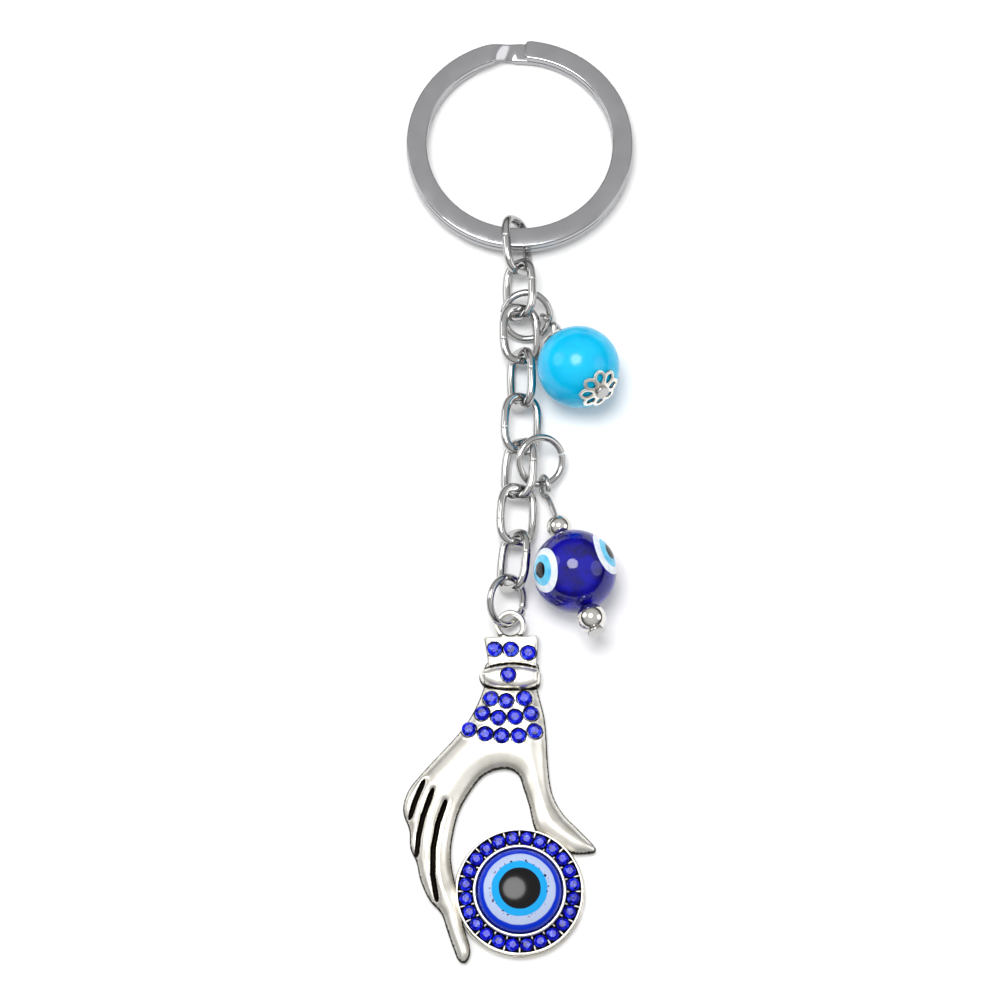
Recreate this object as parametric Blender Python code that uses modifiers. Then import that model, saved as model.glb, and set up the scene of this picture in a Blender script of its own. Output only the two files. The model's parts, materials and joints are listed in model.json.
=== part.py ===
"""Evil eye hand charm on a key ring.

A cast hand holds a round evil eye medallion. The loop on its wrist, a jump ring and a chain
of oval links hang it from a split ring, and two beads dangle from the chain on head pins.
The charm lies on its flat back: the origin is the centre of the medallion's back, +Y runs
along the chain to the split ring, and +Z is up. Sizes are in millimetres.
"""

import math

import bmesh
import bpy
from mathutils import Matrix, Vector

MM = 0.001
MERGE = 1e-6  # metres, for points that meet exactly

GAP = 0.05  # between pieces that hang on, seat in or turn on each other

# Split ring, wound from two turns of flat wire
KEY_RING_DIAMETER = 28.0
KEY_RING_BAND = 2.5
KEY_RING_LAYER = 0.95
KEY_RING_LAYER_GAP = 0.1
KEY_RING_END_ANGLE = 87.0  # where the front turn's blunt end lies, anticlockwise from +X
KEY_RING_STEP = 17.0  # degrees over which the front turn steps down behind its own end
KEY_RING_STEP_CLEAR = 4.0  # degrees between the step and either end of the wire
KEY_RING_OFFSET = 0.45  # how far the ring's centre lies to the right of the chain's top

# Oval cable chain: each link is turned about the chain and leans a little in the plane
LINK_INNER_LENGTH = 5.8
LINK_INNER_WIDTH = 3.3
LINK_WIRE = 1.1
LINK_ROLLS = (-55, 45, -20, 55, -25, 40, -27, 48)
LINK_LEANS = (5, 1, 1, 1, -2, -3, -3, -5)

# Jump rings, each with a small gap where the wire was cut
JUMP_INNER_DIAMETER = 4.8
JUMP_WIRE = 0.9
JUMP_GAP_ANGLE = 6.0

# Head pins: wire with a flat head at one end and an eye at the other
PIN_WIRE = 0.7
PIN_EYE_INNER_DIAMETER = 1.74
PIN_HEAD_THICKNESS = 0.35
PIN_SHOULDER = 0.26  # straight wire between an eye and the first bend
PIN_PLAY = 0.15  # radial room between a pin and the holes it runs through

# Turquoise bead between two filigree caps
TURQUOISE_DIAMETER = 10.0
TURQUOISE_PIN_HEAD = 1.7
CAP_RADIUS = 2.75  # measured along the bead's surface
CAP_THICKNESS = 0.3
CAP_GAP = 0.1
CAP_PETALS = 8
CAP_SCALLOP = 0.24  # how far the rim draws in between petals, as a share of the cap's radius
CAP_HOLE_AT = 1.75  # along the bead's surface from the pin
CAP_HOLE_DIAMETER = 0.75

# Lampwork eye bead between two ball spacers
LAMPWORK_DIAMETER = 10.0
SPACER_UPPER_DIAMETER = 3.0
SPACER_LOWER_DIAMETER = 3.5
LAMPWORK_PIN_HEAD = 2.1

# Medallion: a domed eye in a bezel, with a channel of stones round it
CABOCHON_DIAMETER = 10.1
CABOCHON_EDGE = 0.9
CABOCHON_HEIGHT = 3.2
BEZEL_WALL = 0.4
BEZEL_TOP = 2.4
MEDALLION_FLOOR = 0.9
HALO_STONES = 24
HALO_STONE_DIAMETER = 1.5
HALO_CHANNEL_ROOM = 0.12
HALO_FLOOR = 1.05
HALO_BED = 0.2
RIM_WALL = 0.25
RIM_TOP = 1.9
FLANGE = 0.2
FLANGE_THICKNESS = 0.9

# Grooves between the fingers, in the hand's drawing
GROOVES = (
    ((-11.3, 13.35), (-12.3, 10.9), (-12.95, 8.8)),
    ((-10.25, 12.2), (-11.4, 8.9), (-11.9, 6.6), (-12.1, 4.4)),
    ((-8.7, 10.8), (-9.6, 8.2), (-10.15, 5.2), (-10.2, 2.0), (-9.7, -1.0)),
)

# Hand casting: outlines are drawn at this length from the fingertip to the cuff's top edge
HAND_DRAWN_LENGTH = 39.25
HAND_LENGTH = 39.25
HAND_BACK = 0.06
HAND_THICKNESS = 2.0
BAND_THICKNESS = 2.5
EDGE_ROUND = 0.3
GROOVE_WIDTH = 0.6
STONE_DIAMETER = 1.7
STONE_SEAT_DEPTH = 0.65
STONE_RISE = 0.4
LOOP_INNER_DIAMETER = 2.4
LOOP_WIRE = 0.74
LOOP_HEIGHT = 1.5

# Where the hanging pieces lie: offsets between neighbours, and how far each jump ring's
# plane rises along +X and along +Y
LOOP_DRAWN_AT = (-1.05, 32.3)
PENDANT_RING_OFFSET = Vector((-0.44, 2.75, 1.14))
PENDANT_RING_RISE = (-1.085, 0.346)
PENDANT_HOOK_ANGLE = -110.0
CHAIN_END_OFFSET = Vector((0.55, 1.55, 0))
TURQUOISE_RING_OFFSET = Vector((0.87, -3.09, -0.7))
TURQUOISE_RING_RISE = (-0.025, 0.478)
TURQUOISE_HOOK_ANGLE = -12.6
TURQUOISE_EYE_LEAN = -26.1
TURQUOISE_NECK = (0.276, -0.468, 0.839)
TURQUOISE_RUN = (0.026, -0.963, -0.269)
TURQUOISE_STEM = (0.5, -0.73, 0.465)
EYE_RING_OFFSET = Vector((2.6, 0.9, 0.64))
EYE_RING_RISE = (-0.464, 0.385)
EYE_HOOK_ANGLE = -73.0
EYE_STEM = (0.285, -0.93, 0.25)

HAND_SCALE = HAND_LENGTH / HAND_DRAWN_LENGTH
LOOP_CENTRE = Vector((LOOP_DRAWN_AT[0] * HAND_SCALE, LOOP_DRAWN_AT[1] * HAND_SCALE, LOOP_HEIGHT))
CABOCHON_RADIUS = CABOCHON_DIAMETER / 2
BEZEL_INNER = CABOCHON_RADIUS + GAP
CHANNEL_INNER = BEZEL_INNER + BEZEL_WALL
CHANNEL_OUTER = CHANNEL_INNER + HALO_STONE_DIAMETER + 2 * HALO_CHANNEL_ROOM
HALO_RADIUS = (CHANNEL_INNER + CHANNEL_OUTER) / 2
RIM_OUTER = CHANNEL_OUTER + RIM_WALL
FLANGE_RADIUS = RIM_OUTER + FLANGE

LINK_HALF_LENGTH = (LINK_INNER_LENGTH + LINK_WIRE) / 2  # to the middle of the wire
LINK_HALF_WIDTH = (LINK_INNER_WIDTH + LINK_WIRE) / 2
JUMP_RADIUS = (JUMP_INNER_DIAMETER + JUMP_WIRE) / 2
PIN_EYE_RADIUS = (PIN_EYE_INNER_DIAMETER + PIN_WIRE) / 2
BORE_RADIUS = PIN_WIRE / 2 + PIN_PLAY
KEY_RING_THICKNESS = 2 * KEY_RING_LAYER + KEY_RING_LAYER_GAP
KEY_RING_RADIUS = (KEY_RING_DIAMETER - KEY_RING_BAND) / 2

# The chain lies with its steepest link on the surface
STEEPEST = math.radians(max(abs(roll) for roll in LINK_ROLLS))
CHAIN_HEIGHT = LINK_HALF_WIDTH * math.sin(STEEPEST) + LINK_WIRE / 2 + GAP


# ---------------------------------------------------------------- scene helpers


def clear_scene():
    for obj in list(bpy.data.objects):
        bpy.data.objects.remove(obj, do_unlink=True)


def add_collection(name, hidden=False):
    collection = bpy.data.collections.new(name)
    bpy.context.scene.collection.children.link(collection)
    collection.hide_render = hidden
    return collection


def add_material(name, colour, metallic, roughness):
    """A Principled BSDF of one linear colour."""
    material = bpy.data.materials.new(name)
    material.use_nodes = True
    shader = material.node_tree.nodes["Principled BSDF"]
    shader.inputs["Base Color"].default_value = (*colour, 1.0)
    shader.inputs["Metallic"].default_value = metallic
    shader.inputs["Roughness"].default_value = roughness
    return material


class Assembly:
    """The charm's collection, its cutters' collection and the pieces made so far."""

    def __init__(self):
        self.parts = add_collection("evil_eye_hand_charm")
        self.cutters = add_collection("cutters", hidden=True)
        self.frames = {}
        self.objects = {}

    def add(self, name, data, frame, parent=None, material=None):
        """A visible piece whose origin lies on its joint's axis."""
        obj = bpy.data.objects.new(name, data)
        self.parts.objects.link(obj)
        self.seat(obj, name, frame, parent)
        if material:
            data.materials.clear()
            data.materials.append(material)
        return obj

    def add_empty(self, name, frame, parent=None):
        obj = bpy.data.objects.new(name, None)
        obj.empty_display_size = 2 * MM
        self.parts.objects.link(obj)
        return self.seat(obj, name, frame, parent)

    def seat(self, obj, name, frame, parent):
        if parent:
            obj.parent = self.objects[parent]
            obj.matrix_parent_inverse = self.frames[parent].inverted()
        obj.matrix_basis = frame
        self.frames[name] = frame
        self.objects[name] = obj
        return obj

    def add_cutter(self, name, data, frame=None):
        obj = bpy.data.objects.new(name, data)
        obj.hide_render = True
        obj.display_type = "WIRE"
        obj.matrix_basis = frame or Matrix.Identity(4)
        self.cutters.objects.link(obj)
        return obj


def boolean(obj, tool, operation):
    modifier = obj.modifiers.new(f"{operation.lower()}_{tool.name}", "BOOLEAN")
    modifier.operation = operation
    modifier.solver = "EXACT"
    modifier.object = tool


# ---------------------------------------------------------------- shape helpers


def metres(point):
    return Vector(point) * MM


def frame_of(x_axis, y_axis, z_axis, origin):
    """A world frame from three unit axes and an origin in millimetres."""
    rotation = Matrix((x_axis, y_axis, z_axis)).transposed().to_4x4()
    return Matrix.Translation(metres(origin)) @ rotation


def wire(name, points, diameter, cyclic=False, widths=None):
    """A round wire along points; widths scales the wire at each point."""
    curve = bpy.data.curves.new(name, "CURVE")
    curve.dimensions = "3D"
    curve.bevel_depth = diameter / 2 * MM
    curve.bevel_resolution = 2
    curve.use_fill_caps = True
    curve.twist_mode = "MINIMUM"
    add_spline(curve, points, cyclic, widths)
    return curve


def add_spline(curve, points, cyclic, widths=None):
    spline = curve.splines.new("POLY")
    spline.points.add(len(points) - 1)
    for index, point in enumerate(points):
        spline.points[index].co = (*metres(point), 1.0)
        if widths:
            spline.points[index].radius = widths[index]
    spline.use_cyclic_u = cyclic


def plate(name, outlines, low, high, edge_round=0.0):
    """Flat outlines, given as 2D points, filled between two heights, with rounded edges."""
    curve = bpy.data.curves.new(name, "CURVE")
    curve.dimensions = "2D"
    curve.fill_mode = "BOTH"
    curve.extrude = ((high - low) / 2 - edge_round) * MM
    curve.bevel_depth = edge_round * MM
    curve.bevel_resolution = 1
    curve.offset = -edge_round * MM
    for outline in outlines:
        add_spline(curve, [(x, y, 0.0) for x, y in outline], cyclic=True)
    mesh = meshed(curve)
    mesh.transform(Matrix.Translation(metres((0, 0, (low + high) / 2))))
    return mesh


def meshed(curve):
    """A curve made into a closed mesh, with its caps welded."""
    source = bpy.data.objects.new(curve.name, curve)
    bpy.context.scene.collection.objects.link(source)
    bpy.context.view_layer.update()
    evaluated = source.evaluated_get(bpy.context.evaluated_depsgraph_get())
    mesh = bpy.data.meshes.new_from_object(evaluated)
    bpy.data.objects.remove(source, do_unlink=True)
    bm = bmesh.new()
    bm.from_mesh(mesh)
    bmesh.ops.remove_doubles(bm, verts=bm.verts, dist=MERGE)
    bmesh.ops.recalc_face_normals(bm, faces=bm.faces)
    bm.to_mesh(mesh)
    bm.free()
    return mesh


def profile_mesh(name, profile, closed):
    """A profile of (radius, height) points as edges in the XZ plane."""
    points = [metres((radius, 0, height)) for radius, height in profile]
    edges = [(index, index + 1) for index in range(len(points) - 1)]
    if closed:
        edges.append((len(points) - 1, 0))
    mesh = bpy.data.meshes.new(name)
    mesh.from_pydata(points, edges, [])
    return mesh


def add_screw(obj, steps, smooth=True):
    """Turns a profile about its object's Z axis."""
    screw = obj.modifiers.new("turned", "SCREW")
    screw.axis = "Z"
    screw.steps = steps
    screw.render_steps = steps
    screw.use_merge_vertices = True
    screw.merge_threshold = MERGE
    screw.use_smooth_shade = smooth


def arc(radius, start, end, count, centre=(0.0, 0.0)):
    """Points on an arc, with angles in degrees from +X."""
    angles = [math.radians(start + (end - start) * i / (count - 1)) for i in range(count)]
    return [
        (centre[0] + radius * math.cos(a), centre[1] + radius * math.sin(a)) for a in angles
    ]


def polar(radius, degrees):
    """A 2D point at a radius, at an angle from +X."""
    turn = math.radians(degrees)
    return (radius * math.cos(turn), radius * math.sin(turn))


def smooth_outline(points, steps=2):
    """A closed curve through 2D points."""
    outline = []
    count = len(points)
    for index in range(count):
        before, start, end, after = (Vector(points[(index + k) % count]) for k in (-1, 0, 1, 2))
        chord = (end - start).length
        out_slope = (end - before).normalized() * chord
        in_slope = (after - start).normalized() * chord
        for step in range(steps):
            t = step / steps
            outline.append(
                (2 * t**3 - 3 * t**2 + 1) * start
                + (t**3 - 2 * t**2 + t) * out_slope
                + (3 * t**2 - 2 * t**3) * end
                + (t**3 - t**2) * in_slope
            )
    return [tuple(point) for point in outline]


def round_bead_profile(diameter, bore, count=9):
    """A ball with a bore through it: down the outside, then up the bore."""
    radius = diameter / 2
    pole = math.degrees(math.acos(bore / radius))
    return arc(radius, pole, -pole, count)


# ---------------------------------------------------------------- layout


def link_axes(index):
    """A link's width, length and normal directions; its length runs up the chain."""
    roll = math.radians(LINK_ROLLS[index])
    lean = math.radians(LINK_LEANS[index])
    length = Vector((-math.sin(lean), math.cos(lean), 0))
    across = Vector((math.cos(lean), math.sin(lean), 0))
    width = across * math.cos(roll) + Vector((0, 0, math.sin(roll)))
    return width, length, width.cross(length)


def link_layout(end):
    """Each link's frame on its hinge point and its centre, up from the last link's lower wire."""
    layout = {}
    lower = Vector(end)
    for index in reversed(range(len(LINK_ROLLS))):
        width, length, normal = link_axes(index)
        centre = lower + length * LINK_HALF_LENGTH
        hinge = centre + length * (LINK_HALF_LENGTH - LINK_WIRE - GAP)
        layout[index] = (frame_of(width, length, normal, hinge), centre)
        lower = hinge
    return layout


class Dangle:
    """A jump ring threaded through a link, leaning in its own plane."""

    def __init__(self, centre, rise_x, rise_y):
        """The ring's plane rises by rise_x along +X and by rise_y along +Y."""
        self.centre = Vector(centre)
        self.normal = Vector((-rise_x, -rise_y, 1)).normalized()
        self.across = Vector((1, 0, rise_x)).normalized()
        self.along = self.normal.cross(self.across)

    def wire_at(self, angle):
        """The middle of the wire at an angle from +X, and the wire's direction there."""
        turn = math.radians(angle)
        out = self.across * math.cos(turn) + self.along * math.sin(turn)
        return self.centre + out * JUMP_RADIUS, self.normal.cross(out)

    def points(self, frame, gap_angle, count=20):
        """The wire's middle in a frame's own coordinates, open at gap_angle."""
        inverse = frame.inverted()
        half = JUMP_GAP_ANGLE / 2
        sweep = 360 - JUMP_GAP_ANGLE
        angles = [gap_angle + half + sweep * i / (count - 1) for i in range(count)]
        return [inverse @ metres(self.wire_at(angle)[0]) / MM for angle in angles]


def hook_on(layout, index):
    """The link's number, the middle of its lower wire, and that wire's direction."""
    width, length, _ = link_axes(index)
    return index, layout[index][1] - length * LINK_HALF_LENGTH, width


class Pin:
    """A head pin's line: an eye round a jump ring's wire, a neck, a run and a stem."""

    def __init__(self, hook, eye_lean, directions, bead_radius, reach):
        """The bead rests on the surface, its centre at a reach past the stem's start."""
        self.hook, wire_direction = hook
        self.neck, run, self.stem = (Vector(direction).normalized() for direction in directions)
        play = (PIN_EYE_INNER_DIAMETER - JUMP_WIRE) / 2 - GAP
        self.eye = self.hook + self.neck * play
        self.shoulder = self.eye + self.neck * (PIN_EYE_RADIUS + PIN_SHOULDER)
        rise = bead_radius + GAP - self.shoulder.z - reach * self.stem.z
        self.bend = self.shoulder + run * (rise / run.z)
        self.bead = self.bend + self.stem * reach
        side = wire_direction.cross(self.neck).normalized()
        self.side = Matrix.Rotation(math.radians(eye_lean), 3, self.neck) @ side
        across = self.side - self.stem * self.side.dot(self.stem)
        across.normalize()
        self.frame = frame_of(across, self.stem.cross(across), self.stem, self.hook)
        self.bead_frame = frame_of(across, self.stem.cross(across), self.stem, self.bead)

    def along(self, distance):
        """A world frame on the stem at a distance past the bead's centre."""
        origin = self.bead + self.stem * distance
        return Matrix.Translation(metres(origin - self.bead)) @ self.bead_frame

    def wire_points(self, head_at, head_diameter):
        """The wire's middle in the pin's own frame, from head to eye, and its widths."""
        head_width = head_diameter / PIN_WIRE
        top = self.bead + self.stem * (head_at + PIN_HEAD_THICKNESS)
        under = self.bead + self.stem * head_at
        points = [top, under, under - self.stem * 0.02, self.bend, self.shoulder]
        widths = [head_width, head_width, 1.0, 1.0, 1.0]
        for step in range(15):
            turn = math.radians(20 + 308 * step / 14)
            out = self.neck * math.cos(turn) + self.side * math.sin(turn)
            points.append(self.eye + out * PIN_EYE_RADIUS)
            widths.append(1.0)
        inverse = self.frame.inverted()
        return [inverse @ metres(point) / MM for point in points], widths


# ---------------------------------------------------------------- split ring


def key_ring_path():
    """Two turns of flat wire, clockwise: front turn, step down, back turn."""
    high = (KEY_RING_LAYER + KEY_RING_LAYER_GAP) / 2
    turn_end = KEY_RING_END_ANGLE - 360 + KEY_RING_STEP_CLEAR
    step_start = turn_end + KEY_RING_STEP
    last = turn_end - 360 + KEY_RING_STEP + 2 * KEY_RING_STEP_CLEAR
    front = [(a, high) for a in spread(KEY_RING_END_ANGLE, step_start, 34)]
    step = [
        (step_start - KEY_RING_STEP * t, high * math.cos(math.pi * t))
        for t in (0.25, 0.5, 0.75)
    ]
    back = [(a, -high) for a in spread(turn_end, last, 34)]
    return [
        (
            KEY_RING_RADIUS * math.cos(math.radians(angle)),
            KEY_RING_RADIUS * math.sin(math.radians(angle)),
            height,
        )
        for angle, height in front + step + back
    ]


def spread(start, end, count):
    return [start + (end - start) * i / (count - 1) for i in range(count)]


def add_key_ring(charm, link_frame, steel):
    """The ring lies on the surface at its far side and on the first link at its near side."""
    _, length, _ = link_axes(0)
    lift = KEY_RING_THICKNESS / 2 / math.sin(math.radians(abs(LINK_ROLLS[0])))
    room = math.sqrt((LINK_INNER_WIDTH / 2 - 4 * GAP) ** 2 - lift**2)
    inner_edge = LINK_HALF_LENGTH - LINK_HALF_WIDTH + room
    band = link_frame[1] + length * (inner_edge - KEY_RING_BAND / 2)
    rise = band.z - KEY_RING_THICKNESS / 2 - GAP
    tilt = math.asin(rise / (2 * KEY_RING_RADIUS + KEY_RING_BAND / 2))
    frame_rotation = Matrix.Rotation(-tilt, 4, "X")
    reach = frame_rotation @ Vector((0, KEY_RING_RADIUS, 0))
    centre = band + reach + Vector((KEY_RING_OFFSET, 0, 0))
    frame = Matrix.Translation(metres(centre)) @ frame_rotation
    flat_wire = bpy.data.curves.new("key_ring_section", "CURVE")
    flat_wire.dimensions = "2D"
    half_band, half_layer = KEY_RING_BAND / 2, KEY_RING_LAYER / 2
    corners = [(-half_band, -half_layer), (half_band, -half_layer)]
    corners += [(half_band, half_layer), (-half_band, half_layer)]
    add_spline(flat_wire, [(x, y, 0) for x, y in corners], cyclic=True)
    curve = wire("key_ring", key_ring_path(), LINK_WIRE)
    curve.bevel_mode = "OBJECT"
    curve.bevel_object = charm.add_cutter("key_ring_section", flat_wire)
    curve.twist_mode = "Z_UP"
    charm.add("key_ring", meshed(curve), frame, material=steel)


# ---------------------------------------------------------------- chain and jump rings


def add_chain(charm, layout, steel):
    """The first link slides round the split ring; each other link swings on the one above."""
    slide = charm.frames["key_ring"]
    charm.add_empty("chain_slide_axis", slide, "key_ring")
    parent = "chain_slide_axis"
    for index, (frame, centre) in sorted(layout.items()):
        drop = (frame.inverted() @ metres(centre)) / MM
        half_straight = LINK_HALF_LENGTH - LINK_HALF_WIDTH
        upper = arc(LINK_HALF_WIDTH, 0, 180, 9, (0, drop.y + half_straight))
        lower = arc(LINK_HALF_WIDTH, 180, 360, 9, (0, drop.y - half_straight))
        points = [(x, y, 0) for x, y in upper + lower]
        name = f"chain_link_{index + 1}"
        curve = wire(name, points, LINK_WIRE, cyclic=True)
        charm.add(name, curve, frame, parent, steel)
        parent = name


def add_jump_ring(charm, name, dangle, link, gap_angle, steel):
    """A jump ring that swings on the lower wire of a link."""
    index, hinge, axis = link
    normal = dangle.normal
    side = (normal - axis * normal.dot(axis)).normalized()
    frame = frame_of(axis, side.cross(axis), side, hinge)
    curve = wire(name, dangle.points(frame, gap_angle), JUMP_WIRE)
    charm.add(name, curve, frame, f"chain_link_{index + 1}", steel)


# ---------------------------------------------------------------- beads


def add_pin(charm, name, pin, head_at, head_diameter, parent, steel):
    points, widths = pin.wire_points(head_at, head_diameter)
    curve = wire(name, points, PIN_WIRE, widths=widths)
    charm.add(name, curve, pin.frame, parent, steel)


def add_ball(charm, name, frame, diameter, steps, count, parent, material):
    """A ball with a bore for the pin."""
    profile = round_bead_profile(diameter, BORE_RADIUS, count)
    obj = charm.add(name, profile_mesh(name, profile, closed=True), frame, parent, material)
    add_screw(obj, steps)


def cap_mesh(name, facing):
    """A dome over the bead's end, scalloped into petals; facing is 1 past the bead, -1 before."""
    inner = TURQUOISE_DIAMETER / 2 + CAP_GAP
    bm = bmesh.new()
    bends = spread(BORE_RADIUS / inner, CAP_RADIUS / inner, 5)
    rim = [bm.verts.new(metres((bend, 0, 0))) for bend in bends]
    edges = [bm.edges.new(pair) for pair in zip(rim, rim[1:])]
    bmesh.ops.spin(
        bm, geom=rim + edges, cent=(0, 0, 0), axis=(0, 0, 1), angle=math.tau, steps=CAP_PETALS * 4
    )
    bmesh.ops.remove_doubles(bm, verts=bm.verts, dist=MERGE / 10)
    for vertex in bm.verts:
        bend = vertex.co.length / MM
        turn = math.atan2(vertex.co.y, vertex.co.x)
        share = (bend - bends[0]) / (bends[-1] - bends[0])
        petal = 1 - CAP_SCALLOP * share * math.sin(turn * CAP_PETALS / 2) ** 2
        bend *= petal
        out = inner * math.sin(bend)
        height = inner * math.cos(bend) * facing
        vertex.co = metres((out * math.cos(turn), out * math.sin(turn), height))
    bmesh.ops.recalc_face_normals(bm, faces=bm.faces)
    if sum(face.normal.z * facing for face in bm.faces) < 0:
        bmesh.ops.reverse_faces(bm, faces=bm.faces)
    mesh = bpy.data.meshes.new(name)
    bm.to_mesh(mesh)
    bm.free()
    return mesh


def petal_holes(name, facing):
    """A round hole through each petal of a cap."""
    inner = TURQUOISE_DIAMETER / 2 + CAP_GAP
    bm = bmesh.new()
    for index in range(CAP_PETALS):
        turn = Matrix.Rotation(math.tau * index / CAP_PETALS, 4, "Z")
        lean = Matrix.Rotation(CAP_HOLE_AT / inner, 4, "Y")
        out = Matrix.Translation(metres((0, 0, inner)))
        bmesh.ops.create_cone(
            bm,
            cap_ends=True,
            segments=6,
            radius1=CAP_HOLE_DIAMETER / 2 * MM,
            radius2=CAP_HOLE_DIAMETER / 2 * MM,
            depth=4 * CAP_THICKNESS * MM,
            matrix=turn @ lean @ out,
        )
    mesh = bpy.data.meshes.new(name)
    bm.to_mesh(mesh)
    bm.free()
    if facing < 0:
        mesh.transform(Matrix.Rotation(math.pi, 4, "X"))
    return mesh


def add_cap(charm, name, frame, facing, parent, silver):
    """A filigree flower cap that hugs one end of the turquoise bead."""
    cap = charm.add(name, cap_mesh(name, facing), frame, parent, silver)
    wall = cap.modifiers.new("wall", "SOLIDIFY")
    wall.thickness = CAP_THICKNESS * MM
    wall.offset = 1
    holes = charm.add_cutter(f"{name}_holes", petal_holes(f"{name}_holes", facing), frame)
    boolean(cap, holes, "DIFFERENCE")


def add_turquoise_dangle(charm, ring, steel, silver, glass):
    """A turquoise bead between two filigree caps on a head pin."""
    radius = TURQUOISE_DIAMETER / 2
    seat = radius + CAP_GAP + CAP_THICKNESS + GAP
    hook = ring.wire_at(TURQUOISE_HOOK_ANGLE)
    directions = (TURQUOISE_NECK, TURQUOISE_RUN, TURQUOISE_STEM)
    pin = Pin(hook, TURQUOISE_EYE_LEAN, directions, radius, seat + PIN_WIRE / 2)
    add_pin(charm, "head_pin_turquoise", pin, seat, TURQUOISE_PIN_HEAD, "jump_ring_turquoise", steel)
    parent = "head_pin_turquoise"
    add_ball(charm, "bead_turquoise", pin.bead_frame, TURQUOISE_DIAMETER, 24, 12, parent, glass)
    add_cap(charm, "bead_cap_upper", pin.bead_frame, -1, "bead_turquoise", silver)
    add_cap(charm, "bead_cap_lower", pin.bead_frame, 1, "bead_turquoise", silver)


def add_lampwork_dangle(charm, ring, steel, silver, glass):
    """A lampwork bead between two ball spacers on a head pin."""
    radius = LAMPWORK_DIAMETER / 2
    bead_pole = pole_height(LAMPWORK_DIAMETER)
    upper_at = bead_pole + pole_height(SPACER_UPPER_DIAMETER) + GAP
    lower_at = bead_pole + pole_height(SPACER_LOWER_DIAMETER) + GAP
    head_at = lower_at + pole_height(SPACER_LOWER_DIAMETER) + GAP
    hook = ring.wire_at(EYE_HOOK_ANGLE)
    pin = Pin(hook, 0, (EYE_STEM,) * 3, radius, upper_at + SPACER_UPPER_DIAMETER / 2)
    add_pin(charm, "head_pin_eye", pin, head_at, LAMPWORK_PIN_HEAD, "jump_ring_eye", steel)
    parent = "head_pin_eye"
    add_ball(charm, "bead_lampwork", pin.bead_frame, LAMPWORK_DIAMETER, 24, 12, parent, glass)
    upper, lower = pin.along(-upper_at), pin.along(lower_at)
    add_ball(charm, "spacer_upper", upper, SPACER_UPPER_DIAMETER, 14, 8, parent, silver)
    add_ball(charm, "spacer_lower", lower, SPACER_LOWER_DIAMETER, 14, 8, parent, silver)


def pole_height(diameter):
    """Half of a ball's length along its bore."""
    return math.sqrt((diameter / 2) ** 2 - BORE_RADIUS**2)


# ---------------------------------------------------------------- hand and medallion


def drawn(x, y):
    """A point of the hand's drawing, at the hand's real size."""
    return (x * HAND_SCALE, y * HAND_SCALE)


def beyond_rim(degrees, distance):
    """A point at a distance outside the medallion's flange."""
    return polar(FLANGE_RADIUS + distance * HAND_SCALE, degrees)


def hand_outline():
    """The hand from the wrist down the back, round the fingers, the opening and the thumb."""
    back = [(-3.7, 27.9), (-4.2, 24.9), (-5.3, 22.1), (-6.85, 19.6), (-11.3, 14.6), (-13.1, 12.3)]
    points = [drawn(*point) for point in back]
    points += [drawn(-13.75, 9.9)]
    # little, ring and middle fingers step in below one another, then the index finger
    points += [beyond_rim(*p) for p in ((150, 7.4), (157, 6.4))]
    points += [beyond_rim(163, 5.1), beyond_rim(172, 4.2), beyond_rim(184, 3.05)]
    points += [beyond_rim(195, 1.9), beyond_rim(206, 1.95), beyond_rim(221, 2.6)]
    points += [beyond_rim(228.5, 3.1), beyond_rim(232.5, 2.75), beyond_rim(229.5, 1.3)]
    points += [beyond_rim(212, 0.1), beyond_rim(203, -0.35), beyond_rim(178, -0.35)]
    points += [beyond_rim(169, 0.2)]
    # the opening between the index finger and the thumb
    opening = [(-8.1, 4.6), (-7.6, 8.15), (-6.8, 10.5), (-4.8, 13.6), (-3.3, 14.65), (-1.4, 14.95)]
    opening += [(-0.1, 14.2), (0.5, 12.6), (1.15, 10.5)]
    points += [drawn(*point) for point in opening]
    points += [beyond_rim(78, 0.6), beyond_rim(71, -0.35), beyond_rim(46, -0.35)]
    # the thumb's tip and its outer edge up to the wrist
    points += [beyond_rim(37, 0.25), beyond_rim(29, 2.35), beyond_rim(30.5, 2.85)]
    points += [beyond_rim(48, 2.7), beyond_rim(61, 3.15)]
    points += [drawn(*p) for p in ((4.0, 11.6), (3.5, 14.3), (3.05, 20.75), (2.1, 25), (2.0, 27.9))]
    return smooth_outline(points)


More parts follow.
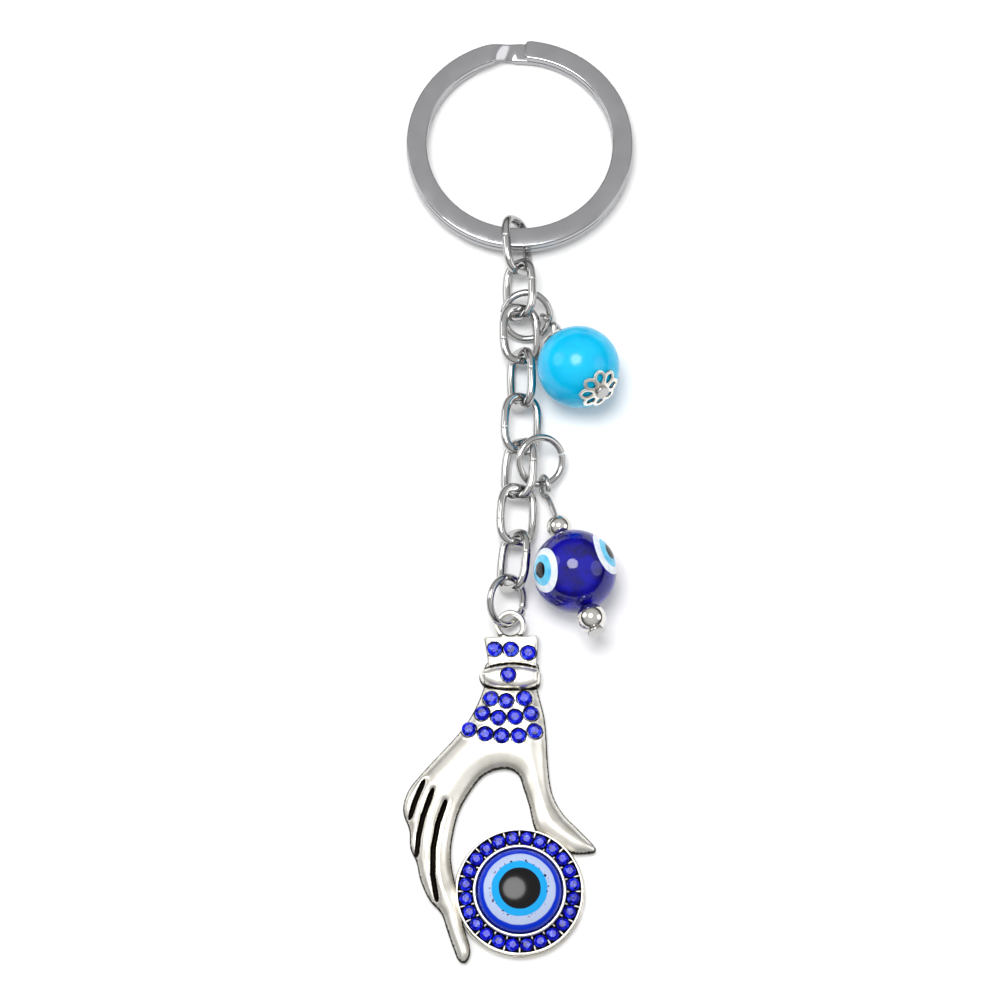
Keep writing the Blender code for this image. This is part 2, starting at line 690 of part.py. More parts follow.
def add_hand(charm, parent, frame, silver):
    """One casting: hand, cuff, bracelet band, hanging loop and medallion setting."""
    local = frame.inverted()

    def cast(name, mesh, operation, at=None):
        tool = charm.add_cutter(name, mesh, at)
        boolean(hand, tool, operation)
        return tool

    body = plate("hand", [hand_outline()], HAND_BACK, HAND_THICKNESS, EDGE_ROUND)
    body.transform(local)
    hand = charm.add("hand_casting", body, frame, parent, silver)
    cuff = [drawn(*p) for p in ((-4.15, 30.9), (2.3, 31.1), (2.05, 26.9), (-3.65, 26.9))]
    cast("cuff", plate("cuff", [cuff], HAND_BACK + 0.02, HAND_THICKNESS + 0.1, EDGE_ROUND), "UNION")
    band = [(-4.5, 26.75), (-1.2, 27.5), (2.3, 26.95), (2.55, 26.1), (2.2, 24.85)]
    band += [(-1.45, 24.3), (-4.2, 25.1), (-4.75, 26.0)]
    band_mesh = plate("band", [[drawn(*p) for p in band]], HAND_BACK + 0.04, BAND_THICKNESS, EDGE_ROUND)
    cast("band", band_mesh, "UNION")
    cast("loop", loop_mesh(), "UNION", Matrix.Translation(metres(LOOP_CENTRE)))
    cast("medallion_room", medallion_room_mesh(), "DIFFERENCE")
    setting = cast("setting", profile_mesh("setting", setting_profile(), closed=False), "UNION")
    add_screw(setting, 48)
    cast("stone_seats", seats_mesh(), "DIFFERENCE")
    for index, path in enumerate(GROOVES):
        points = [(*drawn(x, y), HAND_THICKNESS) for x, y in path]
        groove = meshed(wire("groove", points, GROOVE_WIDTH))
        cast(f"groove_{index + 1}", groove, "DIFFERENCE")


def loop_mesh():
    """The loop that stands out of the cuff, in the plane of the charm."""
    bpy.ops.mesh.primitive_torus_add(
        major_radius=(LOOP_INNER_DIAMETER + LOOP_WIRE) / 2 * MM,
        minor_radius=LOOP_WIRE / 2 * MM,
        major_segments=24,
        minor_segments=8,
    )
    made = bpy.context.active_object
    mesh = made.data
    bpy.data.objects.remove(made, do_unlink=True)
    return mesh


def medallion_room_mesh():
    """Clears the fingers and the thumb out of the setting, up to the middle of its rim."""
    bm = bmesh.new()
    radius = (RIM_OUTER - RIM_WALL / 2) * MM
    bmesh.ops.create_cone(
        bm, cap_ends=True, segments=48, radius1=radius, radius2=radius, depth=3 * HAND_THICKNESS * MM
    )
    mesh = bpy.data.meshes.new("medallion_room")
    bm.to_mesh(mesh)
    bm.free()
    return mesh


def setting_profile():
    """Bezel, stone channel, rim and flange, from the middle of the floor out and under."""
    return [
        (0, MEDALLION_FLOOR),
        (BEZEL_INNER, MEDALLION_FLOOR),
        (BEZEL_INNER, BEZEL_TOP),
        (CHANNEL_INNER, BEZEL_TOP),
        (CHANNEL_INNER, HALO_FLOOR),
        (CHANNEL_OUTER, HALO_FLOOR),
        (CHANNEL_OUTER, RIM_TOP),
        (RIM_OUTER, RIM_TOP),
        (RIM_OUTER, FLANGE_THICKNESS),
        (FLANGE_RADIUS, FLANGE_THICKNESS),
        (FLANGE_RADIUS, 0),
        (0, 0),
    ]


def stone_places():
    """Each wrist stone's place and the height of the surface it is set in."""
    rows = {
        "cuff": ((-2.95, 29.2), (-1.0, 29.2), (1.1, 28.75)),
        "band": ((-1.3, 25.95),),
        "hand": (
            (-3.4, 23.2), (-1.55, 22.85), (0.6, 23.2),
            (-4.4, 21.4), (-2.5, 20.8), (-0.5, 20.9), (1.4, 21.35),
            (-6.0, 19.45), (-4.05, 18.85), (-2.1, 18.6), (-0.1, 18.6), (1.85, 19.2),
        ),
    }
    tops = {"cuff": HAND_THICKNESS + 0.1, "band": BAND_THICKNESS, "hand": HAND_THICKNESS}
    return [(*drawn(*place), tops[row]) for row, places in rows.items() for place in places]


def seats_mesh():
    """A round pocket for each wrist stone."""
    bm = bmesh.new()
    for x, y, top in stone_places():
        middle = Matrix.Translation(metres((x, y, top)))
        bmesh.ops.create_cone(
            bm,
            cap_ends=True,
            segments=12,
            radius1=(STONE_DIAMETER / 2 + GAP) * MM,
            radius2=(STONE_DIAMETER / 2 + GAP) * MM,
            depth=2 * STONE_SEAT_DEPTH * MM,
            matrix=middle,
        )
    mesh = bpy.data.meshes.new("stone_seats")
    bm.to_mesh(mesh)
    bm.free()
    return mesh


def add_wrist_stones(charm, glass):
    """Round cut stones, each glued in its pocket."""
    radius = STONE_DIAMETER / 2
    foot = -STONE_SEAT_DEPTH + GAP
    profile = [(0, STONE_RISE), (radius * 0.55, STONE_RISE), (radius * 0.98, 0.02)]
    profile += [(radius * 0.9, foot), (0, foot)]
    for index, place_of_stone in enumerate(stone_places()):
        name = f"wrist_stone_{index + 1:02d}"
        frame = Matrix.Translation(metres(place_of_stone))
        stone = charm.add(name, profile_mesh(name, profile, closed=False), frame, "hand_casting", glass)
        add_screw(stone, 10, smooth=False)


def add_halo_stones(charm, glass):
    """The ring of stones in the channel, held together by the bed of glue under them."""
    low = HALO_FLOOR + GAP
    inner, outer = CHANNEL_INNER + GAP, CHANNEL_OUTER - GAP
    bed = [(outer, low + HALO_BED), (outer, low), (inner, low), (inner, low + HALO_BED)]
    halo = charm.add("halo_stones", profile_mesh("halo_stones", bed, closed=True),
                     Matrix.Identity(4), "hand_casting", glass)
    add_screw(halo, 48, smooth=False)
    bm = bmesh.new()
    height = RIM_TOP - low - HALO_BED / 2
    for index in range(HALO_STONES):
        x, y = polar(HALO_RADIUS, 360 / HALO_STONES * (index + 0.5))
        bmesh.ops.create_cone(
            bm,
            cap_ends=True,
            segments=8,
            radius1=HALO_STONE_DIAMETER / 2 * MM,
            radius2=HALO_STONE_DIAMETER / 3.6 * MM,
            depth=height * MM,
            matrix=Matrix.Translation(metres((x, y, low + HALO_BED / 2 + height / 2))),
        )
    mesh = bpy.data.meshes.new("halo_cut")
    bm.to_mesh(mesh)
    bm.free()
    boolean(halo, charm.add_cutter("halo_cut", mesh), "UNION")


def add_cabochon(charm, glass):
    """The domed eye, seated in the bezel."""
    low = MEDALLION_FLOOR + GAP
    rise = CABOCHON_HEIGHT - CABOCHON_EDGE
    profile = [(0, low + CABOCHON_HEIGHT)]
    for step in range(1, 8):
        turn = math.radians(90 * step / 7)
        profile.append((CABOCHON_RADIUS * math.sin(turn), low + CABOCHON_EDGE + rise * math.cos(turn)))
    profile += [(CABOCHON_RADIUS, low), (0, low)]
    eye = charm.add("eye_cabochon", profile_mesh("eye_cabochon", profile, closed=False),
                    Matrix.Identity(4), "hand_casting", glass)
    add_screw(eye, 32)


def main():
    clear_scene()
    charm = Assembly()
    nickel = add_material("polished_nickel", (0.62, 0.62, 0.64), 1.0, 0.15)
    silver = add_material("antique_silver", (0.72, 0.69, 0.62), 1.0, 0.32)
    turquoise = add_material("turquoise_glass", (0.0, 0.47, 0.85), 0.0, 0.08)
    cobalt = add_material("cobalt_glass", (0.01, 0.01, 0.42), 0.0, 0.06)
    sapphire = add_material("sapphire_glass", (0.02, 0.03, 0.62), 0.0, 0.05)
    eye_blue = add_material("eye_glass", (0.01, 0.06, 0.6), 0.0, 0.05)

    pendant_ring = Dangle(LOOP_CENTRE + PENDANT_RING_OFFSET, *PENDANT_RING_RISE)
    chain_end = pendant_ring.centre + CHAIN_END_OFFSET
    chain_end.z = CHAIN_HEIGHT
    layout = link_layout(chain_end)
    centres = [layout[index][1] for index in range(len(layout))]
    add_key_ring(charm, layout[0], nickel)
    add_chain(charm, layout, nickel)

    turquoise_ring = Dangle(centres[1] + TURQUOISE_RING_OFFSET, *TURQUOISE_RING_RISE)
    eye_ring = Dangle(centres[5] + EYE_RING_OFFSET, *EYE_RING_RISE)
    add_jump_ring(charm, "jump_ring_turquoise", turquoise_ring, hook_on(layout, 1), 175, nickel)
    add_jump_ring(charm, "jump_ring_eye", eye_ring, hook_on(layout, 5), 25, nickel)
    add_jump_ring(charm, "jump_ring_pendant", pendant_ring, hook_on(layout, 7), -8, nickel)

    add_turquoise_dangle(charm, turquoise_ring, nickel, silver, turquoise)
    add_lampwork_dangle(charm, eye_ring, nickel, silver, cobalt)

    hook, direction = pendant_ring.wire_at(PENDANT_HOOK_ANGLE)
    up = (Vector((0, 0, 1)) - direction * direction.z).normalized()
    hand_frame = frame_of(direction, up.cross(direction), up, hook)
    add_hand(charm, "jump_ring_pendant", hand_frame, silver)
    add_wrist_stones(charm, sapphire)
    add_halo_stones(charm, sapphire)
    add_cabochon(charm, eye_blue)


if __name__ == "__main__":
    main()
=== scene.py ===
"""Looks of the evil eye hand charm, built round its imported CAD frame.

Every piece is a surface worked out on a numpy grid, in millimetres in the frame's own axes, and
is written to its mesh in metres. Places, directions and swing axes are read from the frame.
"""

import json
import logging
import math
from dataclasses import dataclass, field
from enum import Enum
from typing import Any

import bpy
import numpy as np
from mathutils import Matrix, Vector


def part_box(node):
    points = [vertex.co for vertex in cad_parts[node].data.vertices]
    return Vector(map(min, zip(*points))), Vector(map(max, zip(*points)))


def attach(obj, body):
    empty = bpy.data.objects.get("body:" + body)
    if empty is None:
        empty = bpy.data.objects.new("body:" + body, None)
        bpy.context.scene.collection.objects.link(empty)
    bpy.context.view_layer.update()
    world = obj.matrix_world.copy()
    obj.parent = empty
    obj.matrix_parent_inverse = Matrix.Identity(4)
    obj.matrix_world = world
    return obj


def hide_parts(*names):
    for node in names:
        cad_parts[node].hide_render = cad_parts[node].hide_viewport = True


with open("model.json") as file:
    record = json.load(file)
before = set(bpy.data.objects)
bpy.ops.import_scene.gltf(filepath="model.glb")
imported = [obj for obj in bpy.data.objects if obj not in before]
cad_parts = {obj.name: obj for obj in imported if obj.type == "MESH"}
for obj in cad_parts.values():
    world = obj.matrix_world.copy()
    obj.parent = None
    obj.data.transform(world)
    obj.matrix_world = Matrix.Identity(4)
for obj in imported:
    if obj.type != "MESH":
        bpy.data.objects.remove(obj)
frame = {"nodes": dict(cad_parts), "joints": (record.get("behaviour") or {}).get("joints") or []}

Array = np.ndarray
MM = 0.001
LOG = logging.getLogger("evil_eye_hand_charm")
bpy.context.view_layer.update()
JOINTS = {joint["name"]: joint for joint in frame["joints"]}
FULL_TURN = 2 * math.pi
# Round wire is drawn this much thinner than its size. At some joint limits it still meets its
# neighbour, as the frame's own wire does.
WIRE_SHARE = 0.955


# ------------------------------------------------------------------ vectors and shells


def unit(vector: Array) -> Array:
    """A vector scaled to length one."""
    vector = np.asarray(vector, float)
    return vector / np.linalg.norm(vector, axis=-1, keepdims=True)


def turned_about(vector: Array, axis: Array, degrees: float) -> Array:
    """A vector turned about an axis by the right-hand rule (Rodrigues' formula).

    Args:
        vector: the vector to turn.
        axis: the unit axis.
        degrees: the angle.

    Returns:
        The turned vector.
    """
    angle = math.radians(degrees)
    across = np.cross(axis, vector)
    along = axis * np.dot(axis, vector)
    return vector * math.cos(angle) + across * math.sin(angle) + along * (1 - math.cos(angle))


@dataclass
class Place:
    """A right-handed set of axes at a point, in millimetres."""

    origin: Array
    x: Array
    z: Array

    def __post_init__(self) -> None:
        """Squares the axes up: z is kept, and x is made perpendicular to it."""
        self.z = unit(self.z)
        self.x = unit(self.x - self.z * np.dot(self.x, self.z))
        self.y = np.cross(self.z, self.x)

    def out(self, points: Array) -> Array:
        """Points given along these axes, in the frame's axes.

        Args:
            points: distances along x, y and z.

        Returns:
            The same points in the frame's axes.
        """
        points = np.asarray(points, float)
        flat = points[..., :1] * self.x + points[..., 1:2] * self.y + points[..., 2:3] * self.z
        return self.origin + flat


@dataclass
class Shell:
    """A closed surface: its points, its faces and one shade value at each point."""

    points: Array
    quads: Array
    triangles: Array = field(default_factory=lambda: np.zeros((0, 3), int))
    shade: Array | None = None

    def facing_out(self) -> "Shell":
        """Turns the faces outwards where the shell's volume comes out negative.

        Returns:
            This shell.
        """
        corners = np.vstack([self.quads[:, [0, 1, 2]], self.quads[:, [0, 2, 3]], self.triangles])
        a, b, c = (self.points[corners[:, k]] for k in range(3))
        if np.einsum("ij,ij->i", a, np.cross(b, c)).sum() < 0:
            self.quads = self.quads[:, ::-1]
            self.triangles = self.triangles[:, ::-1]
        return self


def joined(shells: list[Shell]) -> Shell:
    """Several shells as one, each kept whole.

    Args:
        shells: the shells to join.

    Returns:
        One shell with all their points and faces.
    """
    starts = np.cumsum([0] + [len(shell.points) for shell in shells[:-1]])
    return Shell(
        np.vstack([shell.points for shell in shells]),
        np.vstack([shell.quads + start for shell, start in zip(shells, starts)]),
        np.vstack([shell.triangles + start for shell, start in zip(shells, starts)]),
        np.concatenate(
            [np.zeros(len(s.points)) if s.shade is None else s.shade for s in shells]
        ),
    )


def grid_shell(rows: Array, wrap_rows: bool, shade: Array | None = None) -> Shell:
    """A closed shell over a grid of points, row by row, each row a closed loop.

    Each cell of four neighbours is a face. The rows join up end to end when wrap_rows is set;
    otherwise the first and the last row are closed by a fan to their middle.

    Args:
        rows: points, shaped (rows, points in a row, 3).
        wrap_rows: whether the last row meets the first.
        shade: one value for each row, or None.

    Returns:
        The shell, facing outwards.
    """
    count, around = rows.shape[:2]
    index = np.arange(count * around).reshape(count, around)
    right = np.roll(index, -1, axis=1)
    if wrap_rows:
        below, below_right = np.roll(index, -1, axis=0), np.roll(right, -1, axis=0)
    else:
        index, right, below, below_right = index[:-1], right[:-1], index[1:], right[1:]
    quads = np.stack([index, right, below_right, below], axis=-1).reshape(-1, 4)
    points = rows.reshape(-1, 3)
    triangles = np.zeros((0, 3), int)
    values = None if shade is None else np.repeat(shade, around)
    if not wrap_rows:
        first = np.arange(around)
        last = first + (count - 1) * around
        middles = np.array([rows[0].mean(axis=0), rows[-1].mean(axis=0)])
        tip = len(points)
        points = np.vstack([points, middles])
        start_fan = np.stack([np.roll(first, -1), first, np.full(around, tip)], axis=1)
        end_fan = np.stack([last, np.roll(last, -1), np.full(around, tip + 1)], axis=1)
        triangles = np.vstack([start_fan, end_fan])
        if values is not None:
            values = np.concatenate([values, [shade[0], shade[-1]]])
    return Shell(points, quads, triangles, values).facing_out()


def turned(
    profile: Array, place: Place, sides: int, closed: bool, shade: Array | None = None
) -> Shell:
    """A profile of (radius, height) turned about a place's z axis.

    Args:
        profile: the (radius, height) pairs.
        place: the axis and the point that heights start from.
        sides: how many points go round.
        closed: whether the profile's end meets its start, as on a bead with a bore.
        shade: one value for each pair, or None.

    Returns:
        The turned shell.
    """
    angle = np.linspace(0, FULL_TURN, sides, endpoint=False)
    radius, height = profile[:, 0, None], profile[:, 1, None]
    flat = np.stack([radius * np.cos(angle), radius * np.sin(angle), height + 0 * angle], axis=-1)
    return grid_shell(place.out(flat), closed, shade)


def swept(
    path: Array,
    section: Array,
    upright: Array,
    closed: bool,
    widths: Array | None = None,
    roll: Array | None = None,
) -> Shell:
    """A section carried along a path, square to it.

    At each point the section's first axis is the path's direction crossed with upright, and its
    second is square to both. Rolling turns the two about the path.

    Args:
        path: the points of the path.
        section: the (across, up) pairs of the section, in order round it.
        upright: a direction that the path never runs along.
        closed: whether the path's end meets its start.
        widths: (across, up) scales at each point of the path, or None.
        roll: degrees at each point of the path, or None.

    Returns:
        The swept shell.
    """
    ahead, behind = np.roll(path, -1, axis=0), np.roll(path, 1, axis=0)
    if not closed:
        ahead[-1], behind[0] = path[-1], path[0]
    direction = unit(ahead - behind)
    across = unit(np.cross(direction, upright))
    up = np.cross(across, direction)
    if roll is not None:
        cos, sin = np.cos(np.radians(roll))[:, None], np.sin(np.radians(roll))[:, None]
        across, up = across * cos + up * sin, up * cos - across * sin
    scale = np.ones((len(path), 2)) if widths is None else widths
    rows = (
        path[:, None]
        + across[:, None] * section[None, :, :1] * scale[:, None, :1]
        + up[:, None] * section[None, :, 1:] * scale[:, None, 1:]
    )
    return grid_shell(rows, closed)


def round_section(diameter: float, sides: int = 20) -> Array:
    """A drawn wire's circle as (across, up) pairs."""
    angle = np.linspace(0, FULL_TURN, sides, endpoint=False)
    return np.stack([np.cos(angle), np.sin(angle)], axis=1) * diameter / 2 * WIRE_SHARE


def box_section(width: float, height: float, corner: float, steps: int = 5) -> Array:
    """A rectangle with round corners as (across, up) pairs.

    Args:
        width: the size across.
        height: the size up.
        corner: the corners' radius.
        steps: points on each corner.

    Returns:
        The pairs, anticlockwise.
    """
    angle = np.linspace(0, math.pi / 2, steps)
    quarter = np.stack([np.cos(angle), np.sin(angle)], axis=1) * corner
    sides = []
    for turn, sign in enumerate(((1, 1), (-1, 1), (-1, -1), (1, -1))):
        cos, sin = round(math.cos(turn * math.pi / 2)), round(math.sin(turn * math.pi / 2))
        middle = np.array([sign[0] * (width / 2 - corner), sign[1] * (height / 2 - corner)])
        sides.append(middle + quarter @ np.array([[cos, sin], [-sin, cos]]))
    return np.vstack(sides)


def eased(path: Array, rounds: int = 3) -> Array:
    """A path with its corners cut to smooth bends, each round at a quarter and three quarters.

    Args:
        path: the points.
        rounds: how often the corners are cut.

    Returns:
        The smoothed points, with both ends kept.
    """
    for _ in range(rounds):
        near = path[:-1] * 0.75 + path[1:] * 0.25
        far = path[:-1] * 0.25 + path[1:] * 0.75
        path = np.vstack([path[:1], np.stack([near, far], axis=1).reshape(-1, 3), path[-1:]])
    return path


def on_arc(radius: Array | float, degrees: Array, height: Array | float = 0.0) -> Array:
    """Points at a radius and angles about z."""
    angle = np.radians(degrees)
    return np.stack([radius * np.cos(angle), radius * np.sin(angle), height + 0 * angle], axis=-1)


# ------------------------------------------------------------------ materials


class Slot(Enum):
    """The record's material slots."""

    NICKEL = "polished_nickel"
    SILVER = "antique_silver"
    TURQUOISE = "turquoise_glass"
    COBALT = "cobalt_glass"
    SAPPHIRE = "sapphire_glass"
    EYE = "eye_glass"


def colour(hex_value: str) -> tuple[float, float, float, float]:
    """An sRGB hex colour as linear values, with full alpha.

    Args:
        hex_value: the colour, as in #B4B3B2.

    Returns:
        Red, green, blue and alpha.
    """
    parts = [int(hex_value[k : k + 2], 16) / 255 for k in (1, 3, 5)]
    linear = [p / 12.92 if p <= 0.04045 else ((p + 0.055) / 1.055) ** 2.4 for p in parts]
    return (*linear, 1.0)


def add_node(tree: Any, kind: str, settings: dict[str, Any] | None = None, **sockets: Any) -> Any:
    """Adds a node with its settings and links.

    Args:
        tree: the node tree.
        kind: the node's type, without its ShaderNode prefix.
        settings: attributes to set on the node; stops gives a colour ramp's (position, colour)
            pairs, each colour linear or one grey value.
        **sockets: input values, or outputs to link from; in0, in1 and so on go by number, and
            an underscore in a name stands for a space.

    Returns:
        The node.
    """
    node = tree.nodes.new(f"ShaderNode{kind}")
    chosen = dict(settings or {})
    stops = chosen.pop("stops", [])
    for _ in stops[2:]:
        node.color_ramp.elements.new(1.0)
    for element, (position, shade) in zip(node.color_ramp.elements if stops else [], stops):
        element.position = position
        element.color = shade if isinstance(shade, tuple) else (shade, shade, shade, 1.0)
    for name, value in chosen.items():
        setattr(node, name, value)
    for name, value in sockets.items():
        numbered = name.startswith("in") and name[2:].isdigit()
        socket = node.inputs[int(name[2:]) if numbered else name.replace("_", " ")]
        if isinstance(value, bpy.types.NodeSocket):
            tree.links.new(value, socket)
        else:
            socket.default_value = value
    return node


def per_metre(size_mm: float) -> float:
    """The scale that gives a noise pattern blotches of a real size."""
    return 1 / (size_mm * MM)


@dataclass(frozen=True)
class Finish:
    """A material: its name and the values that its shader starts from."""

    name: str
    base: str
    roughness: float
    metallic: float = 0.0

    def material(self) -> bpy.types.Material:
        """The finish as a Blender material.

        Returns:
            The material, dressed.
        """
        made = bpy.data.materials.new(self.name)
        made.use_nodes = True
        tree = made.node_tree
        shader = tree.nodes["Principled BSDF"]
        shader.inputs["Base Color"].default_value = colour(self.base)
        shader.inputs["Roughness"].default_value = self.roughness
        shader.inputs["Metallic"].default_value = self.metallic
        made.diffuse_color = colour(self.base)
        self.dress(tree, shader)
        return made

    def dress(self, tree: Any, shader: Any) -> None:
        """Adds what this finish has beyond one plain colour."""


@dataclass(frozen=True)
class PaperSweep(Finish):
    """Matt white paper under the charm: a faint tooth that kills any gleam."""

    def dress(self, tree: Any, shader: Any) -> None:
        """A very shallow tooth, too fine to see as a pattern.

        Args:
            tree: the material's nodes.
            shader: its Principled shader.
        """
        place = add_node(tree, "TexCoord").outputs["Object"]
        tooth = add_node(tree, "TexNoise", Vector=place, Scale=per_metre(0.4)).outputs["Fac"]
        raised = add_node(tree, "Bump", Strength=0.2, Distance=0.01 * MM, Height=tooth)
        tree.links.new(raised.outputs["Normal"], shader.inputs["Normal"])


@dataclass(frozen=True)
class PolishedNickel(Finish):
    """Nickel plate on tumbled steel wire: a grey mirror with faint handling haze."""

    clouded: str = "#BBBBBA"
    haze_mm: float = 2.6
    draw_mm: float = 0.35

    def dress(self, tree: Any, shader: Any) -> None:
        """Roughness and tint drift over patches, and draw marks lift the surface by microns.

        Args:
            tree: the material's nodes.
            shader: its Principled shader.
        """
        place = add_node(tree, "TexCoord").outputs["Object"]
        haze = add_node(
            tree, "TexNoise", Vector=place, Scale=per_metre(self.haze_mm), Detail=3.0
        ).outputs["Fac"]
        low, high = self.roughness * 0.8, self.roughness * 1.3
        rough = add_node(tree, "MapRange", in0=haze, in1=0.35, in2=0.65, in3=low, in4=high)
        tree.links.new(rough.outputs[0], shader.inputs["Roughness"])
        stops = [(0.3, colour(self.base)), (0.8, colour(self.clouded))]
        tint = add_node(tree, "ValToRGB", {"stops": stops}, in0=haze)
        tree.links.new(tint.outputs["Color"], shader.inputs["Base Color"])
        marks = add_node(
            tree, "TexNoise", Vector=place, Scale=per_metre(self.draw_mm), Detail=3.0
        ).outputs["Fac"]
        raised = add_node(tree, "Bump", Strength=0.35, Distance=0.004 * MM, Height=marks)
        tree.links.new(raised.outputs["Normal"], shader.inputs["Normal"])


@dataclass(frozen=True)
class AntiqueSilver(Finish):
    """Zinc casting in antique silver plate: bright on high places, black wash in recesses, and the
    same dark colour as painted shade on the hand's edges.
    """

    wash_and_shade: str = "#1B1713"
    worn: str = "#C9C2B2"
    grain_mm: float = 0.28
    blotch_mm: float = 2.4

    def dress(self, tree: Any, shader: Any) -> None:
        """The wash, and the painted shade on the hand's edges, follow the shade attribute, broken
        up by cast grain.

        Args:
            tree: the material's nodes.
            shader: its Principled shader.
        """
        place = add_node(tree, "TexCoord").outputs["Object"]
        shade = add_node(tree, "Attribute", {"attribute_name": "shade"}).outputs["Fac"]
        grain = add_node(
            tree, "TexNoise", Vector=place, Scale=per_metre(self.grain_mm), Detail=5.0
        ).outputs["Fac"]
        blotch = add_node(
            tree, "TexNoise", Vector=place, Scale=per_metre(self.blotch_mm), Detail=3.0
        ).outputs["Fac"]
        wear = add_node(tree, "MapRange", in0=blotch, in1=0.45, in2=0.75, in4=0.55).outputs[0]
        plate = add_node(
            tree,
            "Mix",
            {"data_type": "RGBA"},
            in0=wear,
            in6=colour(self.base),
            in7=colour(self.worn),
        ).outputs[2]
        ragged = add_node(
            tree, "Math", {"operation": "MULTIPLY_ADD"}, in0=grain, in1=0.7, in2=-0.35
        ).outputs[0]
        depth = add_node(tree, "Math", {"operation": "ADD"}, in0=shade, in1=ragged).outputs[0]
        # Where the shade attribute marks the hand's outline and side walls, this dark colour is
        # painted shade, not wash.
        wash_and_shade_share = add_node(
            tree, "MapRange", {"interpolation_type": "SMOOTHSTEP"}, in0=depth, in1=0.3, in2=0.72
        ).outputs[0]
        blend = add_node(
            tree, "Mix", {"data_type": "RGBA"}, in0=wash_and_shade_share, in6=plate, in7=colour(self.wash_and_shade)
        )
        tree.links.new(blend.outputs[2], shader.inputs["Base Color"])
        rough = add_node(tree, "MapRange", in0=wash_and_shade_share, in3=self.roughness, in4=0.62)
        tree.links.new(rough.outputs[0], shader.inputs["Roughness"])
        raised = add_node(tree, "Bump", Strength=0.5, Distance=0.012 * MM, Height=grain)
        tree.links.new(raised.outputs["Normal"], shader.inputs["Normal"])


@dataclass(frozen=True)
class CloudedGlass(Finish):
    """Pressed turquoise glass, polished: milky, so light runs a little way into it."""

    cloud: str = "#00C0EA"
    cloud_mm: float = 3.2
    depth_mm: float = 1.2

    def dress(self, tree: Any, shader: Any) -> None:
        """Faint clouds in the colour, light spread below the surface, and a soft polish.

        Args:
            tree: the material's nodes.
            shader: its Principled shader.
        """
        place = add_node(tree, "TexCoord").outputs["Object"]
        clouds = add_node(
            tree, "TexNoise", Vector=place, Scale=per_metre(self.cloud_mm), Detail=3.0
        ).outputs["Fac"]
        stops = [(0.35, colour(self.base)), (0.75, colour(self.cloud))]
        tint = add_node(tree, "ValToRGB", {"stops": stops}, in0=clouds)
        tree.links.new(tint.outputs["Color"], shader.inputs["Base Color"])
        shader.inputs["IOR"].default_value = 1.52
        shader.inputs["Specular IOR Level"].default_value = 0.35
        shader.inputs["Subsurface Weight"].default_value = 0.25
        shader.inputs["Subsurface Radius"].default_value = (0.05, 0.8, 1.2)
        shader.inputs["Subsurface Scale"].default_value = self.depth_mm * MM


@dataclass(frozen=True)
class ClearGlass(Finish):
    """Lampworked soda glass: see-through cobalt with streaks where it was wound."""

    dense: str = "#150B70"
    streak_mm: float = 1.8
    ripple_mm: float = 1.4
    clearness: float = 0.5

    def dress(self, tree: Any, shader: Any) -> None:
        """Streaks of denser colour in a body that light passes through, and a wound ripple.

        Args:
            tree: the material's nodes.
            shader: its Principled shader.
        """
        place = add_node(tree, "TexCoord").outputs["Object"]
        streaks = add_node(
            tree, "TexNoise", Vector=place, Scale=per_metre(self.streak_mm), Detail=3.0
        ).outputs["Fac"]
        stops = [(0.38, colour(self.dense)), (0.66, colour(self.base))]
        tint = add_node(tree, "ValToRGB", {"stops": stops}, in0=streaks)
        tree.links.new(tint.outputs["Color"], shader.inputs["Base Color"])
        shader.inputs["IOR"].default_value = 1.52
        shader.inputs["Transmission Weight"].default_value = self.clearness
        shader.inputs["Specular IOR Level"].default_value = 0.4
        ripple = add_node(
            tree, "TexNoise", Vector=place, Scale=per_metre(self.ripple_mm), Detail=2.0
        ).outputs["Fac"]
        raised = add_node(tree, "Bump", Strength=0.5, Distance=0.05 * MM, Height=ripple)
        tree.links.new(raised.outputs["Normal"], shader.inputs["Normal"])


@dataclass(frozen=True)
class OpaqueGlass(Finish):
    """Opaque glass rod melted on in a dot: glossy, with a soft variation in its colour."""

    deeper: str = "#C3CEDD"
    drift_mm: float = 1.1

    def dress(self, tree: Any, shader: Any) -> None:
        """A slow drift between two close colours.

        Args:
            tree: the material's nodes.
            shader: its Principled shader.
        """
        place = add_node(tree, "TexCoord").outputs["Object"]
        drift = add_node(
            tree, "TexNoise", Vector=place, Scale=per_metre(self.drift_mm), Detail=3.0
        ).outputs["Fac"]
        stops = [(0.35, colour(self.base)), (0.75, colour(self.deeper))]
        tint = add_node(tree, "ValToRGB", {"stops": stops}, in0=drift)
        tree.links.new(tint.outputs["Color"], shader.inputs["Base Color"])
        shader.inputs["IOR"].default_value = 1.52
        shader.inputs["Specular IOR Level"].default_value = 0.4


@dataclass(frozen=True)
class FoiledStone(Finish):
    """Cut glass with a foiled back: each facet gets a random blue, dark to bright, as a painted
    reflection.
    """

    darkest: str = "#03044C"
    dark: str = "#070A92"
    light: str = "#1828EC"
    spark: str = "#4E66FF"

    def dress(self, tree: Any, shader: Any) -> None:
        """The facet attribute, one value for each face, picks the blue of each facet's painted
        reflection.

        Args:
            tree: the material's nodes.
            shader: its Principled shader.
        """
        facet = add_node(tree, "Attribute", {"attribute_name": "facet"}).outputs["Fac"]
        # Painted reflection: the dark facets and bright sparks stand for light thrown back by the
        # foil and the cut.
        blues = (self.darkest, self.dark, self.base, self.light, self.spark)
        stops = [(at, colour(blue)) for at, blue in zip((0.0, 0.3, 0.62, 0.86, 1.0), blues)]
        tint = add_node(tree, "ValToRGB", {"stops": stops}, in0=facet)
        tree.links.new(tint.outputs["Color"], shader.inputs["Base Color"])
        shader.inputs["IOR"].default_value = 1.5
        shader.inputs["Specular IOR Level"].default_value = 0.22


